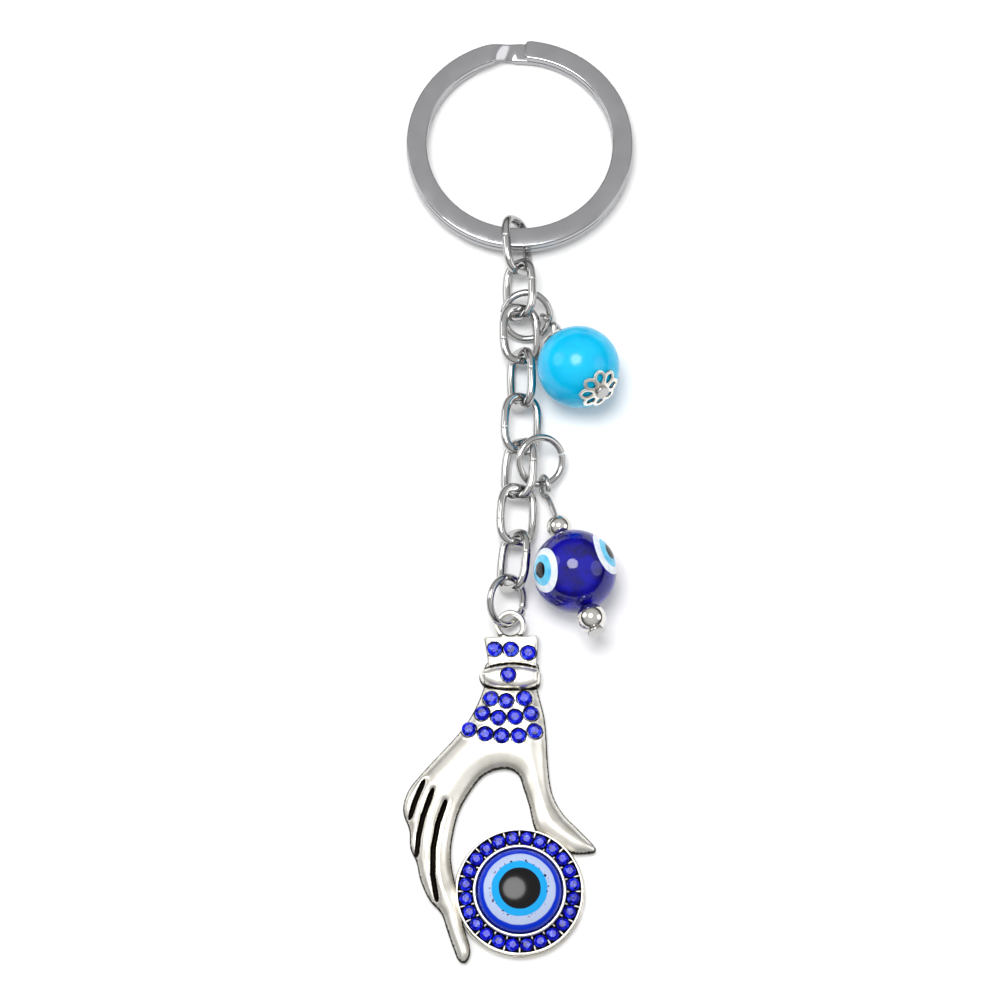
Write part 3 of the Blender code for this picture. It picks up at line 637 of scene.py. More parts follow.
@dataclass(frozen=True)
class PrintedEye(Finish):
    """A print of rings under a clear resin dome: flat colour, deep gloss."""

    pupil: str = "#050508"
    iris: str = "#129DE0"
    white: str = "#AEBDDD"
    edge: str = "#06187A"
    speck: str = "#101A4A"
    pupil_mm: float = 2.45
    iris_mm: float = 3.28
    white_mm: float = 4.22
    dome_mm: float = 5.05
    blend_mm: float = 0.05
    speck_mm: float = 0.34

    def dress(self, tree: Any, shader: Any) -> None:
        """Rings by distance from the medallion's middle, with specks where inks meet.

        Args:
            tree: the material's nodes.
            shader: its Principled shader.
        """
        place = add_node(tree, "TexCoord").outputs["Object"]
        flat = add_node(
            tree, "VectorMath", {"operation": "MULTIPLY"}, in0=place, in1=(1 / MM, 1 / MM, 0)
        ).outputs[0]
        away = add_node(tree, "VectorMath", {"operation": "LENGTH"}, in0=flat).outputs["Value"]
        waver = add_node(tree, "TexNoise", Vector=place, Scale=per_metre(1.3)).outputs["Fac"]
        shift = add_node(
            tree, "Math", {"operation": "MULTIPLY_ADD"}, in0=waver, in1=0.16, in2=-0.08
        ).outputs[0]
        radius = add_node(tree, "Math", {"operation": "ADD"}, in0=away, in1=shift).outputs[0]
        share = add_node(
            tree, "Math", {"operation": "DIVIDE"}, in0=radius, in1=self.dome_mm
        ).outputs[0]
        limits = (0.0, self.pupil_mm, self.iris_mm, self.white_mm, self.dome_mm - 0.35)
        stops = []
        for k, ink in enumerate((self.pupil, self.iris, self.white, self.base)):
            start, end = limits[k] + self.blend_mm, limits[k + 1] - self.blend_mm
            stops += [(start / self.dome_mm, colour(ink)), (end / self.dome_mm, colour(ink))]
        stops.append((1.0, colour(self.edge)))
        rings = add_node(tree, "ValToRGB", {"stops": stops}, in0=share).outputs["Color"]
        fine = add_node(
            tree, "TexNoise", Vector=place, Scale=per_metre(self.speck_mm), Detail=1.0
        ).outputs["Fac"]
        dots = add_node(tree, "MapRange", in0=fine, in1=0.61, in2=0.65).outputs[0]
        off = add_node(
            tree, "Math", {"operation": "SUBTRACT"}, in0=radius, in1=self.iris_mm + 0.1
        ).outputs[0]
        near = add_node(tree, "Math", {"operation": "ABSOLUTE"}, in0=off).outputs[0]
        seam = add_node(tree, "MapRange", in0=near, in1=0.26, in2=0.08).outputs[0]
        ink = add_node(tree, "Math", {"operation": "MULTIPLY"}, in0=dots, in1=seam).outputs[0]
        printed = add_node(
            tree, "Mix", {"data_type": "RGBA"}, in0=ink, in6=rings, in7=colour(self.speck)
        )
        tree.links.new(printed.outputs[2], shader.inputs["Base Color"])
        shader.inputs["IOR"].default_value = 1.46
        shader.inputs["Specular IOR Level"].default_value = 0.3


@dataclass
class Palette:
    """The charm's materials, each made once."""

    nickel: Any = None
    ring_nickel: Any = None
    silver: Any = None
    bright: Any = None
    turquoise: Any = None
    cobalt: Any = None
    eye_white: Any = None
    eye_sky: Any = None
    eye_black: Any = None
    stone: Any = None
    printed: Any = None

    def __post_init__(self) -> None:
        """Makes each material from its finish."""
        wire = PolishedNickel("nickel_plated_steel_wire", "#B4B3B2", 0.09, 1.0)
        flat = PolishedNickel("nickel_plated_flat_wire", "#A9A9AC", 0.12, 1.0, clouded="#AFAFB1")
        ball = PolishedNickel("silver_plated_ball", "#DEDCD7", 0.08, 1.0, clouded="#D6D3CC")
        sky = OpaqueGlass("opaque_sky_glass", "#6CC9EA", 0.1, deeper="#49AEDC")
        black = OpaqueGlass("opaque_black_glass", "#0A090D", 0.1, deeper="#19171E")
        self.nickel = wire.material()
        self.ring_nickel = flat.material()
        self.bright = ball.material()
        self.silver = AntiqueSilver("antique_silver_cast_zinc", "#F7F4EC", 0.33, 1.0).material()
        self.turquoise = CloudedGlass("pressed_turquoise_glass", "#00B0E0", 0.19).material()
        self.cobalt = ClearGlass("lampworked_cobalt_glass", "#1711C8", 0.05).material()
        self.eye_white = OpaqueGlass("opaque_white_glass", "#E9EEF4", 0.1).material()
        self.eye_sky = sky.material()
        self.eye_black = black.material()
        self.stone = FoiledStone("foiled_sapphire_glass", "#1014D2", 0.08).material()
        self.printed = PrintedEye("printed_resin_eye", "#0430C4", 0.12).material()


def add_piece(
    name: str,
    shell: Shell,
    material: Any,
    body: str,
    nodes: tuple[str, ...] = (),
    sharp: float = 40.0,
    facets: int | None = None,
) -> bpy.types.Object:
    """Writes a shell to a mesh object and ties it to its body.

    Args:
        name: the piece's name.
        shell: its surface, in millimetres.
        material: its Blender material.
        body: the CAD body that it rides on.
        nodes: CAD nodes that it stands for.
        sharp: the angle in degrees past which an edge stays crisp; 0 keeps every face flat.
        facets: a seed for a random value on each face, or None.

    Returns:
        The object.
    """
    mesh = bpy.data.meshes.new(name)
    faces = shell.quads.tolist() + shell.triangles.tolist()
    mesh.from_pydata(shell.points * MM, [], faces)
    mesh.update()
    mesh.polygons.foreach_set("use_smooth", np.full(len(mesh.polygons), sharp > 0))
    if sharp > 0:
        mesh.set_sharp_from_angle(angle=math.radians(sharp))
    if shell.shade is not None:
        mesh.attributes.new("shade", "FLOAT", "POINT").data.foreach_set("value", shell.shade)
    if facets is not None:
        values = np.random.default_rng(facets).random(len(mesh.polygons))
        mesh.attributes.new("facet", "FLOAT", "FACE").data.foreach_set("value", values)
    mesh.materials.append(material)
    piece = bpy.data.objects.new(name, mesh)
    bpy.context.scene.collection.objects.link(piece)
    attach(piece, body)
    if nodes:
        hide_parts(*nodes)
    LOG.info("%s: %d faces", name, len(mesh.polygons))
    return piece


# ------------------------------------------------------------------ reading the frame


def node_points(node: str) -> Array:
    """A CAD node's corners, in millimetres.

    Args:
        node: the node's name.

    Returns:
        One row for each corner.
    """
    mesh = frame["nodes"][node].data
    points = np.empty(len(mesh.vertices) * 3)
    mesh.vertices.foreach_get("co", points)
    return points.reshape(-1, 3) / MM


def plane_of(points: Array) -> tuple[Array, Array]:
    """The middle of a flat thing's box and its axes, longest first.

    The axes are the principal directions of the points, and the middle is halfway between the
    extremes along each.

    Args:
        points: the thing's points.

    Returns:
        The middle and the three axes as rows.
    """
    unique = np.unique(np.round(points, 4), axis=0)
    axes = np.linalg.svd(unique - unique.mean(axis=0), full_matrices=False)[2]
    spread = unique @ axes.T
    return (spread.min(axis=0) + spread.max(axis=0)) / 2 @ axes, axes


def joint_place(joint: str, x: Array) -> Place:
    """The place of a joint, with z along its axis."""
    found = JOINTS[joint]
    return Place(np.array(found["pos_m"]) / MM, np.asarray(x, float), np.array(found["axis"]))


# ------------------------------------------------------------------ split ring, chain, jump rings


@dataclass
class SplitRing:
    """Two turns of flat wire that lie on each other and step over at the far side."""

    radius: float = 12.75
    band: float = 2.5
    layer: float = 0.95
    layer_gap: float = 0.1
    edge: float = 0.22
    end_angle: float = 87.0
    step: float = 17.0
    step_clear: float = 4.0
    inward: float = -0.12
    step_roll: float = -26.0
    step_width: float = 0.84
    samples: int = 700
    end_round: float = 0.7
    end_narrow: float = 0.38
    end_bevel: float = 0.25
    end_thin: float = 0.25

    def route(self) -> tuple[Array, Array, Array]:
        """The wire's middle along its two turns, its length up to each point, and its bend.

        Angles run clockwise. Height is a half cosine through the step and level either side, and
        the radius dips by a sine there, as a bend pressed with a tool does.

        Returns:
            Points in the ring's own axes, the distance along them, and how far into the step's
            bend each is, from 0 to 1.
        """
        lift = (self.layer + self.layer_gap) / 2
        turn_end = self.end_angle - 360 + self.step_clear
        last = turn_end - 360 + self.step + 2 * self.step_clear
        angle = np.linspace(self.end_angle, last, self.samples)
        share = np.clip((turn_end + self.step - angle) / self.step, 0, 1)
        bend = np.sin(math.pi * share)
        radius = self.radius - self.inward * bend
        path = on_arc(radius, angle, lift * np.cos(math.pi * share))
        run = np.concatenate([[0], np.cumsum(np.linalg.norm(np.diff(path, axis=0), axis=1))])
        return path, run, bend

    def build(self, palette: Palette) -> None:
        """Sweeps the flat wire, with its ends rounded in plan.

        Args:
            palette: the charm's materials.
        """
        place = joint_place("link_1_slide", np.array([1.0, 0.0, 0.0]))
        if place.z[2] < 0:
            place = Place(place.origin, place.x, -place.z)
        path, run, bend = self.route()
        to_end = np.minimum(run, run[-1] - run)
        rounding = np.clip(to_end / self.end_round, 0, 1)
        bevel = np.clip(to_end / self.end_bevel, 0, 1)
        plan = 1 - self.end_narrow + self.end_narrow * np.sqrt(1 - (1 - rounding) ** 2)
        thick = 1 - self.end_thin + self.end_thin * np.sqrt(1 - (1 - bevel) ** 2)
        plan *= 1 - (1 - self.step_width) * bend
        section = box_section(self.band, self.layer, self.edge)
        sizes = np.stack([plan, thick], axis=1)
        shell = swept(place.out(path), section, place.z, False, sizes, self.step_roll * bend)
        add_piece("split_ring", shell, palette.ring_nickel, "key_ring", ("key_ring",))


@dataclass
class OvalLink:
    """One link of the chain: round wire bent to an oval and butted."""

    number: int
    inner_length: float = 5.8
    inner_width: float = 3.3
    wire: float = 1.1
    fullness: float = 2.9
    seam_depth: float = 0.03
    seam_width: float = 0.05
    seam_at: float = -0.12

    def build(self, palette: Palette) -> None:
        """Sweeps the wire round an oval, thinner at its butt joint.

        The oval is a superellipse: each coordinate is the half size times the cosine or sine of an
        angle, raised to two over the fullness, with its sign kept.

        Args:
            palette: the charm's materials.
        """
        node = f"chain_link_{self.number}"
        middle, (length, width, normal) = plane_of(node_points(node))
        fine = self.seam_at + np.linspace(-0.05, 0.05, 11)
        turn = np.sort(np.concatenate([np.linspace(0.2, FULL_TURN - 0.4, 168), fine]))
        power = 2 / self.fullness
        x, y = np.cos(turn), np.sin(turn)
        x = (self.inner_width + self.wire) / 2 * np.sign(x) * np.abs(x) ** power
        y = (self.inner_length + self.wire) / 2 * np.sign(y) * np.abs(y) ** power
        path = middle + x[:, None] * width + y[:, None] * length
        away = (turn - self.seam_at) * self.inner_length / 2
        dip = 1 - 2 * self.seam_depth / self.wire * np.exp(-((away / self.seam_width) ** 2))
        sizes = np.stack([dip, dip], axis=1)
        shell = swept(path, round_section(self.wire, 24), normal, True, sizes)
        add_piece(f"oval_link_{self.number}", shell, palette.nickel, node, (node,))


@dataclass
class JumpRing:
    """A round ring of wire, cut through at one place."""

    role: str
    cut_at: float
    wire: float = 0.9
    inner: float = 4.8
    cut: float = 5.0

    def place(self) -> Place:
        """The ring's middle, with z square to it and x level.

        The middle is the least-squares circle through the CAD ring's points in its own plane.

        Returns:
            The ring's place.
        """
        points = node_points(f"jump_ring_{self.role}")
        _, (_, _, normal) = plane_of(points)
        normal = normal if normal[2] > 0 else -normal
        level = np.cross([0.0, 1.0, 0.0], normal)
        flat = Place(points.mean(axis=0), level, normal)
        u, v = (points - flat.origin) @ flat.x, (points - flat.origin) @ flat.y
        system = np.stack([2 * u, 2 * v, np.ones(len(u))], axis=1)
        centre = np.linalg.lstsq(system, u**2 + v**2, rcond=None)[0][:2]
        rise = ((points - flat.origin) @ flat.z).mean()
        return Place(flat.out(np.array([centre[0], centre[1], rise])), flat.x, flat.z)

    def build(self, palette: Palette) -> None:
        """Sweeps the wire round from one side of the cut to the other, with eased ends.

        Args:
            palette: the charm's materials.
        """
        place = self.place()
        radius = (self.inner + self.wire) / 2
        ends = np.array([0.0, 0.25, 0.6, 1.2])
        start, stop = self.cut_at + self.cut / 2, self.cut_at + 360 - self.cut / 2
        middle = np.linspace(start + 3, stop - 3, 110)
        angle = np.concatenate([start + ends, middle, stop - ends[::-1]])
        path = place.out(on_arc(radius, angle))
        ease = np.ones(len(angle))
        ease[:4] = (0.8, 0.9, 0.97, 1.0)
        ease[-4:] = ease[3::-1]
        sizes = np.stack([ease, ease], axis=1)
        shell = swept(path, round_section(self.wire), place.z, False, sizes)
        node = f"jump_ring_{self.role}"
        add_piece(f"cut_ring_{self.role}", shell, palette.nickel, node, (node,))


# ------------------------------------------------------------------ dangles


@dataclass
class HeadPin:
    """A pin with an eye round a jump ring at one end and a flat head at the other."""

    role: str
    ring: JumpRing
    spin: str
    head_at: float
    head: float
    eye_lean: float = 0.0
    neck: tuple[float, float, float] | None = None
    reach: float = 6.0
    wire: float = 0.7
    eye_inner: float = 1.74
    shoulder: float = 0.26
    gap: float = 0.05
    head_thick: float = 0.35
    head_edge: float = 0.12
    eye_from: float = 20.0
    eye_to: float = 328.0

    def build(self, palette: Palette) -> None:
        """Sweeps the wire from the head up the stem, over its bends and round its eye.

        Args:
            palette: the charm's materials.
        """
        bead = joint_place(self.spin, np.array([1.0, 0.0, 0.0]))
        hook = np.array(JOINTS[f"{self.role}_pin_swing"]["pos_m"]) / MM
        ring = self.ring.place()
        tangent = unit(np.cross(ring.z, hook - ring.origin))
        neck = bead.z if self.neck is None else unit(np.array(self.neck))
        eye = hook + neck * ((self.eye_inner - self.ring.wire) / 2 - self.gap)
        radius = (self.eye_inner + self.wire) / 2
        side = turned_about(unit(np.cross(tangent, neck)), neck, self.eye_lean)
        shoulder = eye + neck * (radius + self.shoulder)
        bend = bead.origin - bead.z * self.reach
        turn = np.radians(np.linspace(self.eye_from, self.eye_to, 44))[:, None]
        loop = eye + radius * (neck * np.cos(turn) + side * np.sin(turn))
        stem = bead.origin + bead.z * np.linspace(self.head_at, -self.reach + 0.6, 8)[:, None]
        bends = [stem] if self.neck is None else [stem, bend[None], shoulder[None]]
        path = eased(np.vstack([*bends, loop]))
        shell = swept(path, round_section(self.wire, 16), np.cross(neck, side), False)
        corner = np.linspace(0, math.pi / 2, 5)
        edge = self.head_edge
        rim = np.stack(
            [self.head / 2 - edge + edge * np.sin(corner), edge * (1 - np.cos(corner))], axis=1
        )
        top = np.stack([rim[::-1, 0], self.head_thick - rim[::-1, 1]], axis=1)
        cap_at = Place(bead.origin + bead.z * self.head_at, bead.x, bead.z)
        disc = turned(np.vstack([rim, top]), cap_at, 48, False)
        node = f"head_pin_{self.role}"
        pin = joined([shell, disc])
        add_piece(f"pin_{self.role}", pin, palette.nickel, node, (node,))


def bored_ball(radius: float, bore: float, place: Place, sides: int, lip: float = 0.12) -> Shell:
    """A ball with a hole through it along z, its edges eased.

    The profile is an arc down the outside that ends a lip away from the hole, then the hole's
    wall back up.

    Args:
        radius: the ball's radius.
        bore: the hole's radius.
        place: its middle and axis.
        sides: how many points go round.
        lip: how far the hole's edge is eased.

    Returns:
        The shell.
    """
    pole = math.acos(min(1.0, (bore + lip) / radius))
    angle = np.linspace(pole, -pole, max(24, sides // 2))
    outside = np.stack([radius * np.cos(angle), radius * np.sin(angle)], axis=1)
    mouth = outside[0, 1] - lip * 0.5
    wall = np.array([[bore, -mouth], [bore, 0.0], [bore, mouth]])
    return turned(np.vstack([outside, wall]), place, sides, True)


@dataclass
class FlowerCap:
    """A filigree cap of teardrop petals that hugs the turquoise bead's end."""

    node: str
    facing: int
    petals: int = 8
    bead_radius: float = 5.0
    lift: float = 0.1
    wire_width: float = 0.42
    wire_height: float = 0.3
    inner_at: float = 0.78
    outer_at: float = 2.6
    petal_width: float = 1.5
    hub: float = 1.15
    hub_bore: float = 0.5
    hub_thick: float = 0.3
    wire_corner: float = 0.11

    def petal(self, place: Place, turn: float) -> Shell:
        """One petal: a pointed loop of wire that lies on the bead.

        Along the loop the distance from the pin is half a cosine and half a straight climb and
        fall, which points the tip, and the sideways reach is a sine that grows outwards.

        Args:
            place: the bead's middle, with z along the pin.
            turn: the petal's angle about the pin.

        Returns:
            The swept loop.
        """
        around = np.linspace(0, FULL_TURN, 56, endpoint=False)
        share = (1 - np.cos(around)) / 4 + (1 - np.abs(1 - around / math.pi)) / 2
        away = self.inner_at + (self.outer_at - self.inner_at) * share
        half = self.petal_width / 2 * np.sin(around) * (0.5 + 0.62 * share)
        surface = self.bead_radius + self.lift + self.wire_height / 2
        bend = away / surface
        azimuth = turn + half / (surface * np.sin(bend))
        out = surface * np.sin(bend)
        up = self.facing * surface * np.cos(bend)
        rows = np.stack([out * np.cos(azimuth), out * np.sin(azimuth), up], axis=1)
        tip = unit(np.array([math.cos(turn) * 0.35, math.sin(turn) * 0.35, self.facing]))
        upright = place.x * tip[0] + place.y * tip[1] + place.z * tip[2]
        section = box_section(self.wire_width, self.wire_height, self.wire_corner, 3)
        return swept(place.out(rows), section, upright, True)

    def build(self, palette: Palette) -> None:
        """Eight petals round a dished hub.

        Args:
            palette: the charm's materials.
        """
        place = joint_place("turquoise_bead_spin", np.array([1.0, 0.0, 0.0]))
        shells = [self.petal(place, FULL_TURN * k / self.petals) for k in range(self.petals)]
        low = self.bead_radius + self.lift
        across = np.linspace(self.hub_bore, self.hub, 6)
        under = np.stack([across, np.sqrt(low**2 - across**2)], axis=1)
        over = np.stack([across, np.sqrt((low + self.hub_thick) ** 2 - across**2)], axis=1)[::-1]
        profile = np.vstack([under, over])
        profile[:, 1] *= self.facing
        shells.append(turned(profile, place, 64, True))
        shell = joined(shells)
        over_bead = np.linalg.norm(shell.points - place.origin, axis=1) - low
        shell.shade = 0.95 * (1 - np.clip(over_bead / (self.wire_height * 0.8), 0, 1)) + 0.16
        name = self.node.replace("bead_cap", "flower_cap")
        add_piece(name, shell, palette.silver, "bead_turquoise", (self.node,))


@dataclass
class TurquoiseDangle:
    """A turquoise bead between two flower caps."""

    ring: JumpRing
    radius: float = 5.0
    bore: float = 0.5

    def build(self, palette: Palette) -> None:
        """The pin, the bead and both caps.

        Args:
            palette: the charm's materials.
        """
        pin = HeadPin(
            "turquoise", self.ring, "turquoise_bead_spin", 5.45, 1.7, eye_lean=-26.1,
            neck=(0.276, -0.468, 0.839), reach=5.8,
        )
        pin.build(palette)
        place = joint_place("turquoise_bead_spin", np.array([1.0, 0.0, 0.0]))
        ball = bored_ball(self.radius, self.bore, place, 128)
        node = "bead_turquoise"
        add_piece(
            "round_bead_turquoise", ball, palette.turquoise, node, (node,)
        )
        FlowerCap("bead_cap_upper", -1).build(palette)
        FlowerCap("bead_cap_lower", 1).build(palette)


@dataclass
class LampworkDangle:
    """A cobalt bead with three melted-on eyes, between two plated balls."""

    ring: JumpRing
    radius: float = 5.0
    bore: float = 0.5
    eyes: int = 3
    first_eye: tuple[float, float, float] = (-0.85, -0.061, 0.524)

    def dot(self, place: Place, degrees: float, seed: int, lift: float) -> Shell:
        """One dot of glass melted into the bead: a lens whose rim meets the ball.

        Its height over the ball is lift times one minus the squared share of the way to the rim,
        and the rim's angle wavers with two sines.

        Args:
            place: the bead's middle, with z through the dot.
            degrees: the rim's angle from the dot's middle.
            seed: shifts the waver, so that no two dots match.
            lift: the height in the middle.

        Returns:
            The lens.
        """
        around = np.linspace(0, FULL_TURN, 64, endpoint=False)
        waver = 0.035 * np.sin(2 * around + seed) + 0.02 * np.sin(3 * around + 2 * seed)
        rim = math.radians(degrees) * (1 + waver)
        share = np.concatenate([np.linspace(0.04, 1, 14), np.linspace(1, 0.04, 14)])[:, None]
        over = np.arange(28)[:, None] < 14
        height = self.radius + np.where(over, 0.012 + lift * (1 - share**2), -0.12)
        bend = rim[None] * share
        rows = np.stack(
            [
                height * np.sin(bend) * np.cos(around),
                height * np.sin(bend) * np.sin(around),
                height * np.cos(bend),
            ],
            axis=-1,
        )
        return grid_shell(place.out(rows), False)

    def build(self, palette: Palette) -> None:
        """The pin, the bead, its eyes and both ball spacers.

        Args:
            palette: the charm's materials.
        """
        pin = HeadPin("eye", self.ring, "lampwork_bead_spin", 11.72, 2.1, reach=10.8)
        balls = {}
        for side in ("upper", "lower"):
            place = joint_place(f"{side}_spacer_spin", np.array([1.0, 0.0, 0.0]))
            size = 1.5 if side == "upper" else 1.75
            balls[side] = (place, size)
            ball, node = bored_ball(size, self.bore, place, 64, 0.08), f"spacer_{side}"
            add_piece(f"ball_{node}", ball, palette.bright, node, (node,))
        place = joint_place("lampwork_bead_spin", np.array(self.first_eye))
        lower, size = balls["lower"]
        pole = math.sqrt(size**2 - self.bore**2)
        pin.head_at = float(np.dot(lower.origin - place.origin, place.z)) + pole + 0.05
        pin.build(palette)
        ball, node = bored_ball(self.radius, self.bore, place, 128), "bead_lampwork"
        add_piece("round_bead_lampwork", ball, palette.cobalt, node, (node,))
        layers = (
            ("white", 32.0, 0.02, palette.eye_white),
            ("sky", 23.5, 0.07, palette.eye_sky),
            ("black", 15.0, 0.12, palette.eye_black),
        )
        for name, degrees, lift, material in layers:
            dots = []
            for k in range(self.eyes):
                out = turned_about(place.x, place.z, 360 / self.eyes * k * -1)
                dots.append(self.dot(Place(place.origin, place.z, out), degrees, k + 1, lift))
            add_piece(f"lampwork_eyes_{name}", joined(dots), material, node)


# ------------------------------------------------------------------ hand


def smooth_loop(points: Array, steps: int) -> Array:
    """A closed curve through 2D points, each stretch a cubic with the slope of its neighbours.

    Args:
        points: the points in order.
        steps: how many points each stretch gets.

    Returns:
        The curve's points.
    """
    before, after = np.roll(points, 1, axis=0), np.roll(points, -1, axis=0)
    following = np.roll(points, -2, axis=0)
    chord = np.linalg.norm(after - points, axis=1, keepdims=True)
    leave, arrive = unit(after - before) * chord, unit(following - points) * chord
    t = (np.arange(steps) / steps)[None, :, None]
    curve = (
        (2 * t**3 - 3 * t**2 + 1) * points[:, None]
        + (t**3 - 2 * t**2 + t) * leave[:, None]
        + (3 * t**2 - 2 * t**3) * after[:, None]
        + (t**3 - t**2) * arrive[:, None]
    )
    return curve.reshape(-1, 2)


def nearest_on(points: Array, starts: Array, ends: Array) -> tuple[Array, Array]:
    """How far 2D points are from a set of straight stretches, and the nearest places on them.

    Each point is projected on every stretch, the share along it is held between 0 and 1, and the
    closest is kept.

    Args:
        points: the points.
        starts: where the stretches start.
        ends: where they end.

    Returns:
        The distances and the nearest places.
    """
    distances, places = [], []
    run = ends - starts
    squared = (run**2).sum(axis=1)
    for block in np.array_split(points, max(1, len(points) // 8000)):
        share = np.einsum("pek,ek->pe", block[:, None] - starts, run) / squared
        on = starts + np.clip(share, 0, 1)[..., None] * run
        away = np.linalg.norm(block[:, None] - on, axis=2)
        pick = away.argmin(axis=1)
        row = np.arange(len(block))
        distances.append(away[row, pick])
        places.append(on[row, pick])
    return np.concatenate(distances), np.vstack(places)


def inside_depth(points: Array, outline: Array) -> tuple[Array, Array]:
    """Depth inside a closed outline, negative outside, and the nearest places on it.

    A point is inside where a ray to the right crosses the outline an odd number of times.

    Args:
        points: the points.
        outline: the outline's points.

    Returns:
        The depths and the nearest places.
    """
    ends = np.roll(outline, -1, axis=0)
    away, places = nearest_on(points, outline, ends)
    inside = np.zeros(len(points), bool)
    for start, end in zip(outline, ends):
        between = (start[1] > points[:, 1]) != (end[1] > points[:, 1])
        if between.any():
            cross = start[0] + (points[:, 1] - start[1]) * (end[0] - start[0]) / (end[1] - start[1])
            inside ^= between & (points[:, 0] < cross)
    return np.where(inside, away, -away), places


def round_rise(depth: Array, width: float) -> Array:
    """A quarter circle's rise from 0 at the edge to 1 at a depth of width."""
    share = np.clip(depth / width, 0, 1)
    return np.sqrt(1 - (1 - share) ** 2)


def bell(distance: Array, width: float) -> Array:
    """A bell curve: 1 at 0, falling away over width."""
    return np.exp(-((distance / width) ** 2))


@dataclass
class Medallion:
    """The round setting: a bezel, a channel of stones, a rim and a flange."""

    bezel_inner: float = 5.1
    channel_inner: float = 5.5
    channel_outer: float = 7.24
    rim_outer: float = 7.49
    flange: float = 7.69
    bezel_top: float = 2.4
    rim_top: float = 1.9
    floor: float = 1.05
    stones: int = 24
    stone: float = 1.5
    dome: float = 5.05
    dome_edge: float = 0.9
    dome_height: float = 3.2
    dome_floor: float = 0.95
    ease: float = 0.1
    stone_height: float = 1.72
    rib_width: float = 0.2
    rib_height: float = 0.44

    def flat(self) -> Place:
        """The medallion's own axes: the frame's."""
        return Place(np.zeros(3), np.array([1.0, 0, 0]), np.array([0, 0, 1.0]))

    def lip(self, inner: float, outer: float, top: float) -> Array:
        """The round top of a wall: half a circle from its inner face to its outer.

        Args:
            inner: the radius of the wall's inner face.
            outer: the radius of its outer face.
            top: its height.

        Returns:
            The (radius, height) pairs.
        """
        half = (outer - inner) / 2
        angle = np.linspace(math.pi, 0, 9)
        radius, height = inner + half + half * np.cos(angle), top - half + half * np.sin(angle)
        return np.stack([radius, height], axis=1)

    def setting(self) -> Shell:
        """The casting turned in one: floor, bezel, channel, rim, flange and back.

        Returns:
            The turned shell, with the wash's shade.
        """
        inner, outer, ease = self.channel_inner, self.channel_outer, self.ease
        flange = [(self.flange - ease, 0.9), (self.flange, 0.8), (self.flange, ease)]
        flange += [(self.flange - ease, 0.0)]
        # each stretch of the profile, and how dark the wash lies on it
        parts = [
            (np.array([[0.3, 0.92], [self.bezel_inner, 0.92]]), 0.6),
            (self.lip(self.bezel_inner, inner, self.bezel_top), 0.0),
            (np.array([[inner, 1.5], [inner, self.floor + ease]]), 0.95),
            (np.array([[inner + ease, self.floor], [outer - ease, self.floor]]), 1.0),
            (np.array([[outer, self.floor + ease], [outer, 1.5]]), 0.95),
            (self.lip(outer, self.rim_outer, self.rim_top), 0.0),
            (np.array([[self.rim_outer, 1.1], [self.rim_outer + 0.02, 0.92]]), 0.6),
            (np.array(flange), 0.1),
            (np.array([[6.9, 0.0], [6.6, 0.12], [0.3, 0.12]]), 0.15),
        ]
        profile = np.vstack([points for points, _ in parts])
        shade = np.concatenate([np.full(len(points), value) for points, value in parts])
        return turned(profile, self.flat(), 240, False, shade)

    def prong(self, turn: float, start: float, stop: float, top: float) -> Shell:
        """A thin rib across part of the channel between two stones.

        Args:
            turn: its angle in degrees.
            start: the radius where it starts.
            stop: the radius where it ends.
            top: its height.

        Returns:
            The rib.
        """
        along = np.linspace(start, stop, 7)
        path = on_arc(along, np.full(7, turn), top - self.rib_height / 2)
        swell = 0.65 + 0.35 * np.sin(np.linspace(0, math.pi, 7))
        section = box_section(self.rib_width, self.rib_height, 0.09, 3)
        shell = swept(path, section, np.array([0, 0, 1.0]), False, np.stack([swell, swell], axis=1))
        shell.shade = np.full(len(shell.points), 0.15)
        return shell

    def build(self, palette: Palette) -> None:
        """The setting with its ribs, the stones and the printed dome.

        Args:
            palette: the charm's materials.
        """
        pitch, inner, outer = 360 / self.stones, self.channel_inner, self.channel_outer
        shells = [self.setting()]
        for k in range(self.stones):
            shells.append(self.prong(k * pitch, outer - 0.62, outer + 0.1, 1.88))
            shells.append(self.prong(k * pitch, inner - 0.08, inner + 0.34, 1.8))
        add_piece("medallion_setting", joined(shells), palette.silver, "pendant")
        middle = (inner + outer) / 2
        places = on_arc(middle, np.arange(self.stones) * pitch + pitch / 2, self.stone_height)
        cut = joined([CutStone(self.stone).shell(place, k) for k, place in enumerate(places)])
        nodes = ("halo_stones",)
        add_piece("halo_stones_cut", cut, palette.stone, "pendant", nodes, 0, 7)
        bend = np.linspace(0.03, math.pi / 2, 44)
        rise = self.dome_height - self.dome_edge
        height = self.dome_floor + self.dome_edge + rise * np.cos(bend)
        over = np.stack([self.dome * np.sin(bend), height], axis=1)
        low, ease = self.dome_floor, self.ease
        under = np.array([[self.dome, low + ease], [self.dome - ease, low], [ease, low]])
        dome, nodes = turned(np.vstack([over, under]), self.flat(), 160, False), ("eye_cabochon",)
        add_piece("printed_eye_dome", dome, palette.printed, "pendant", nodes)


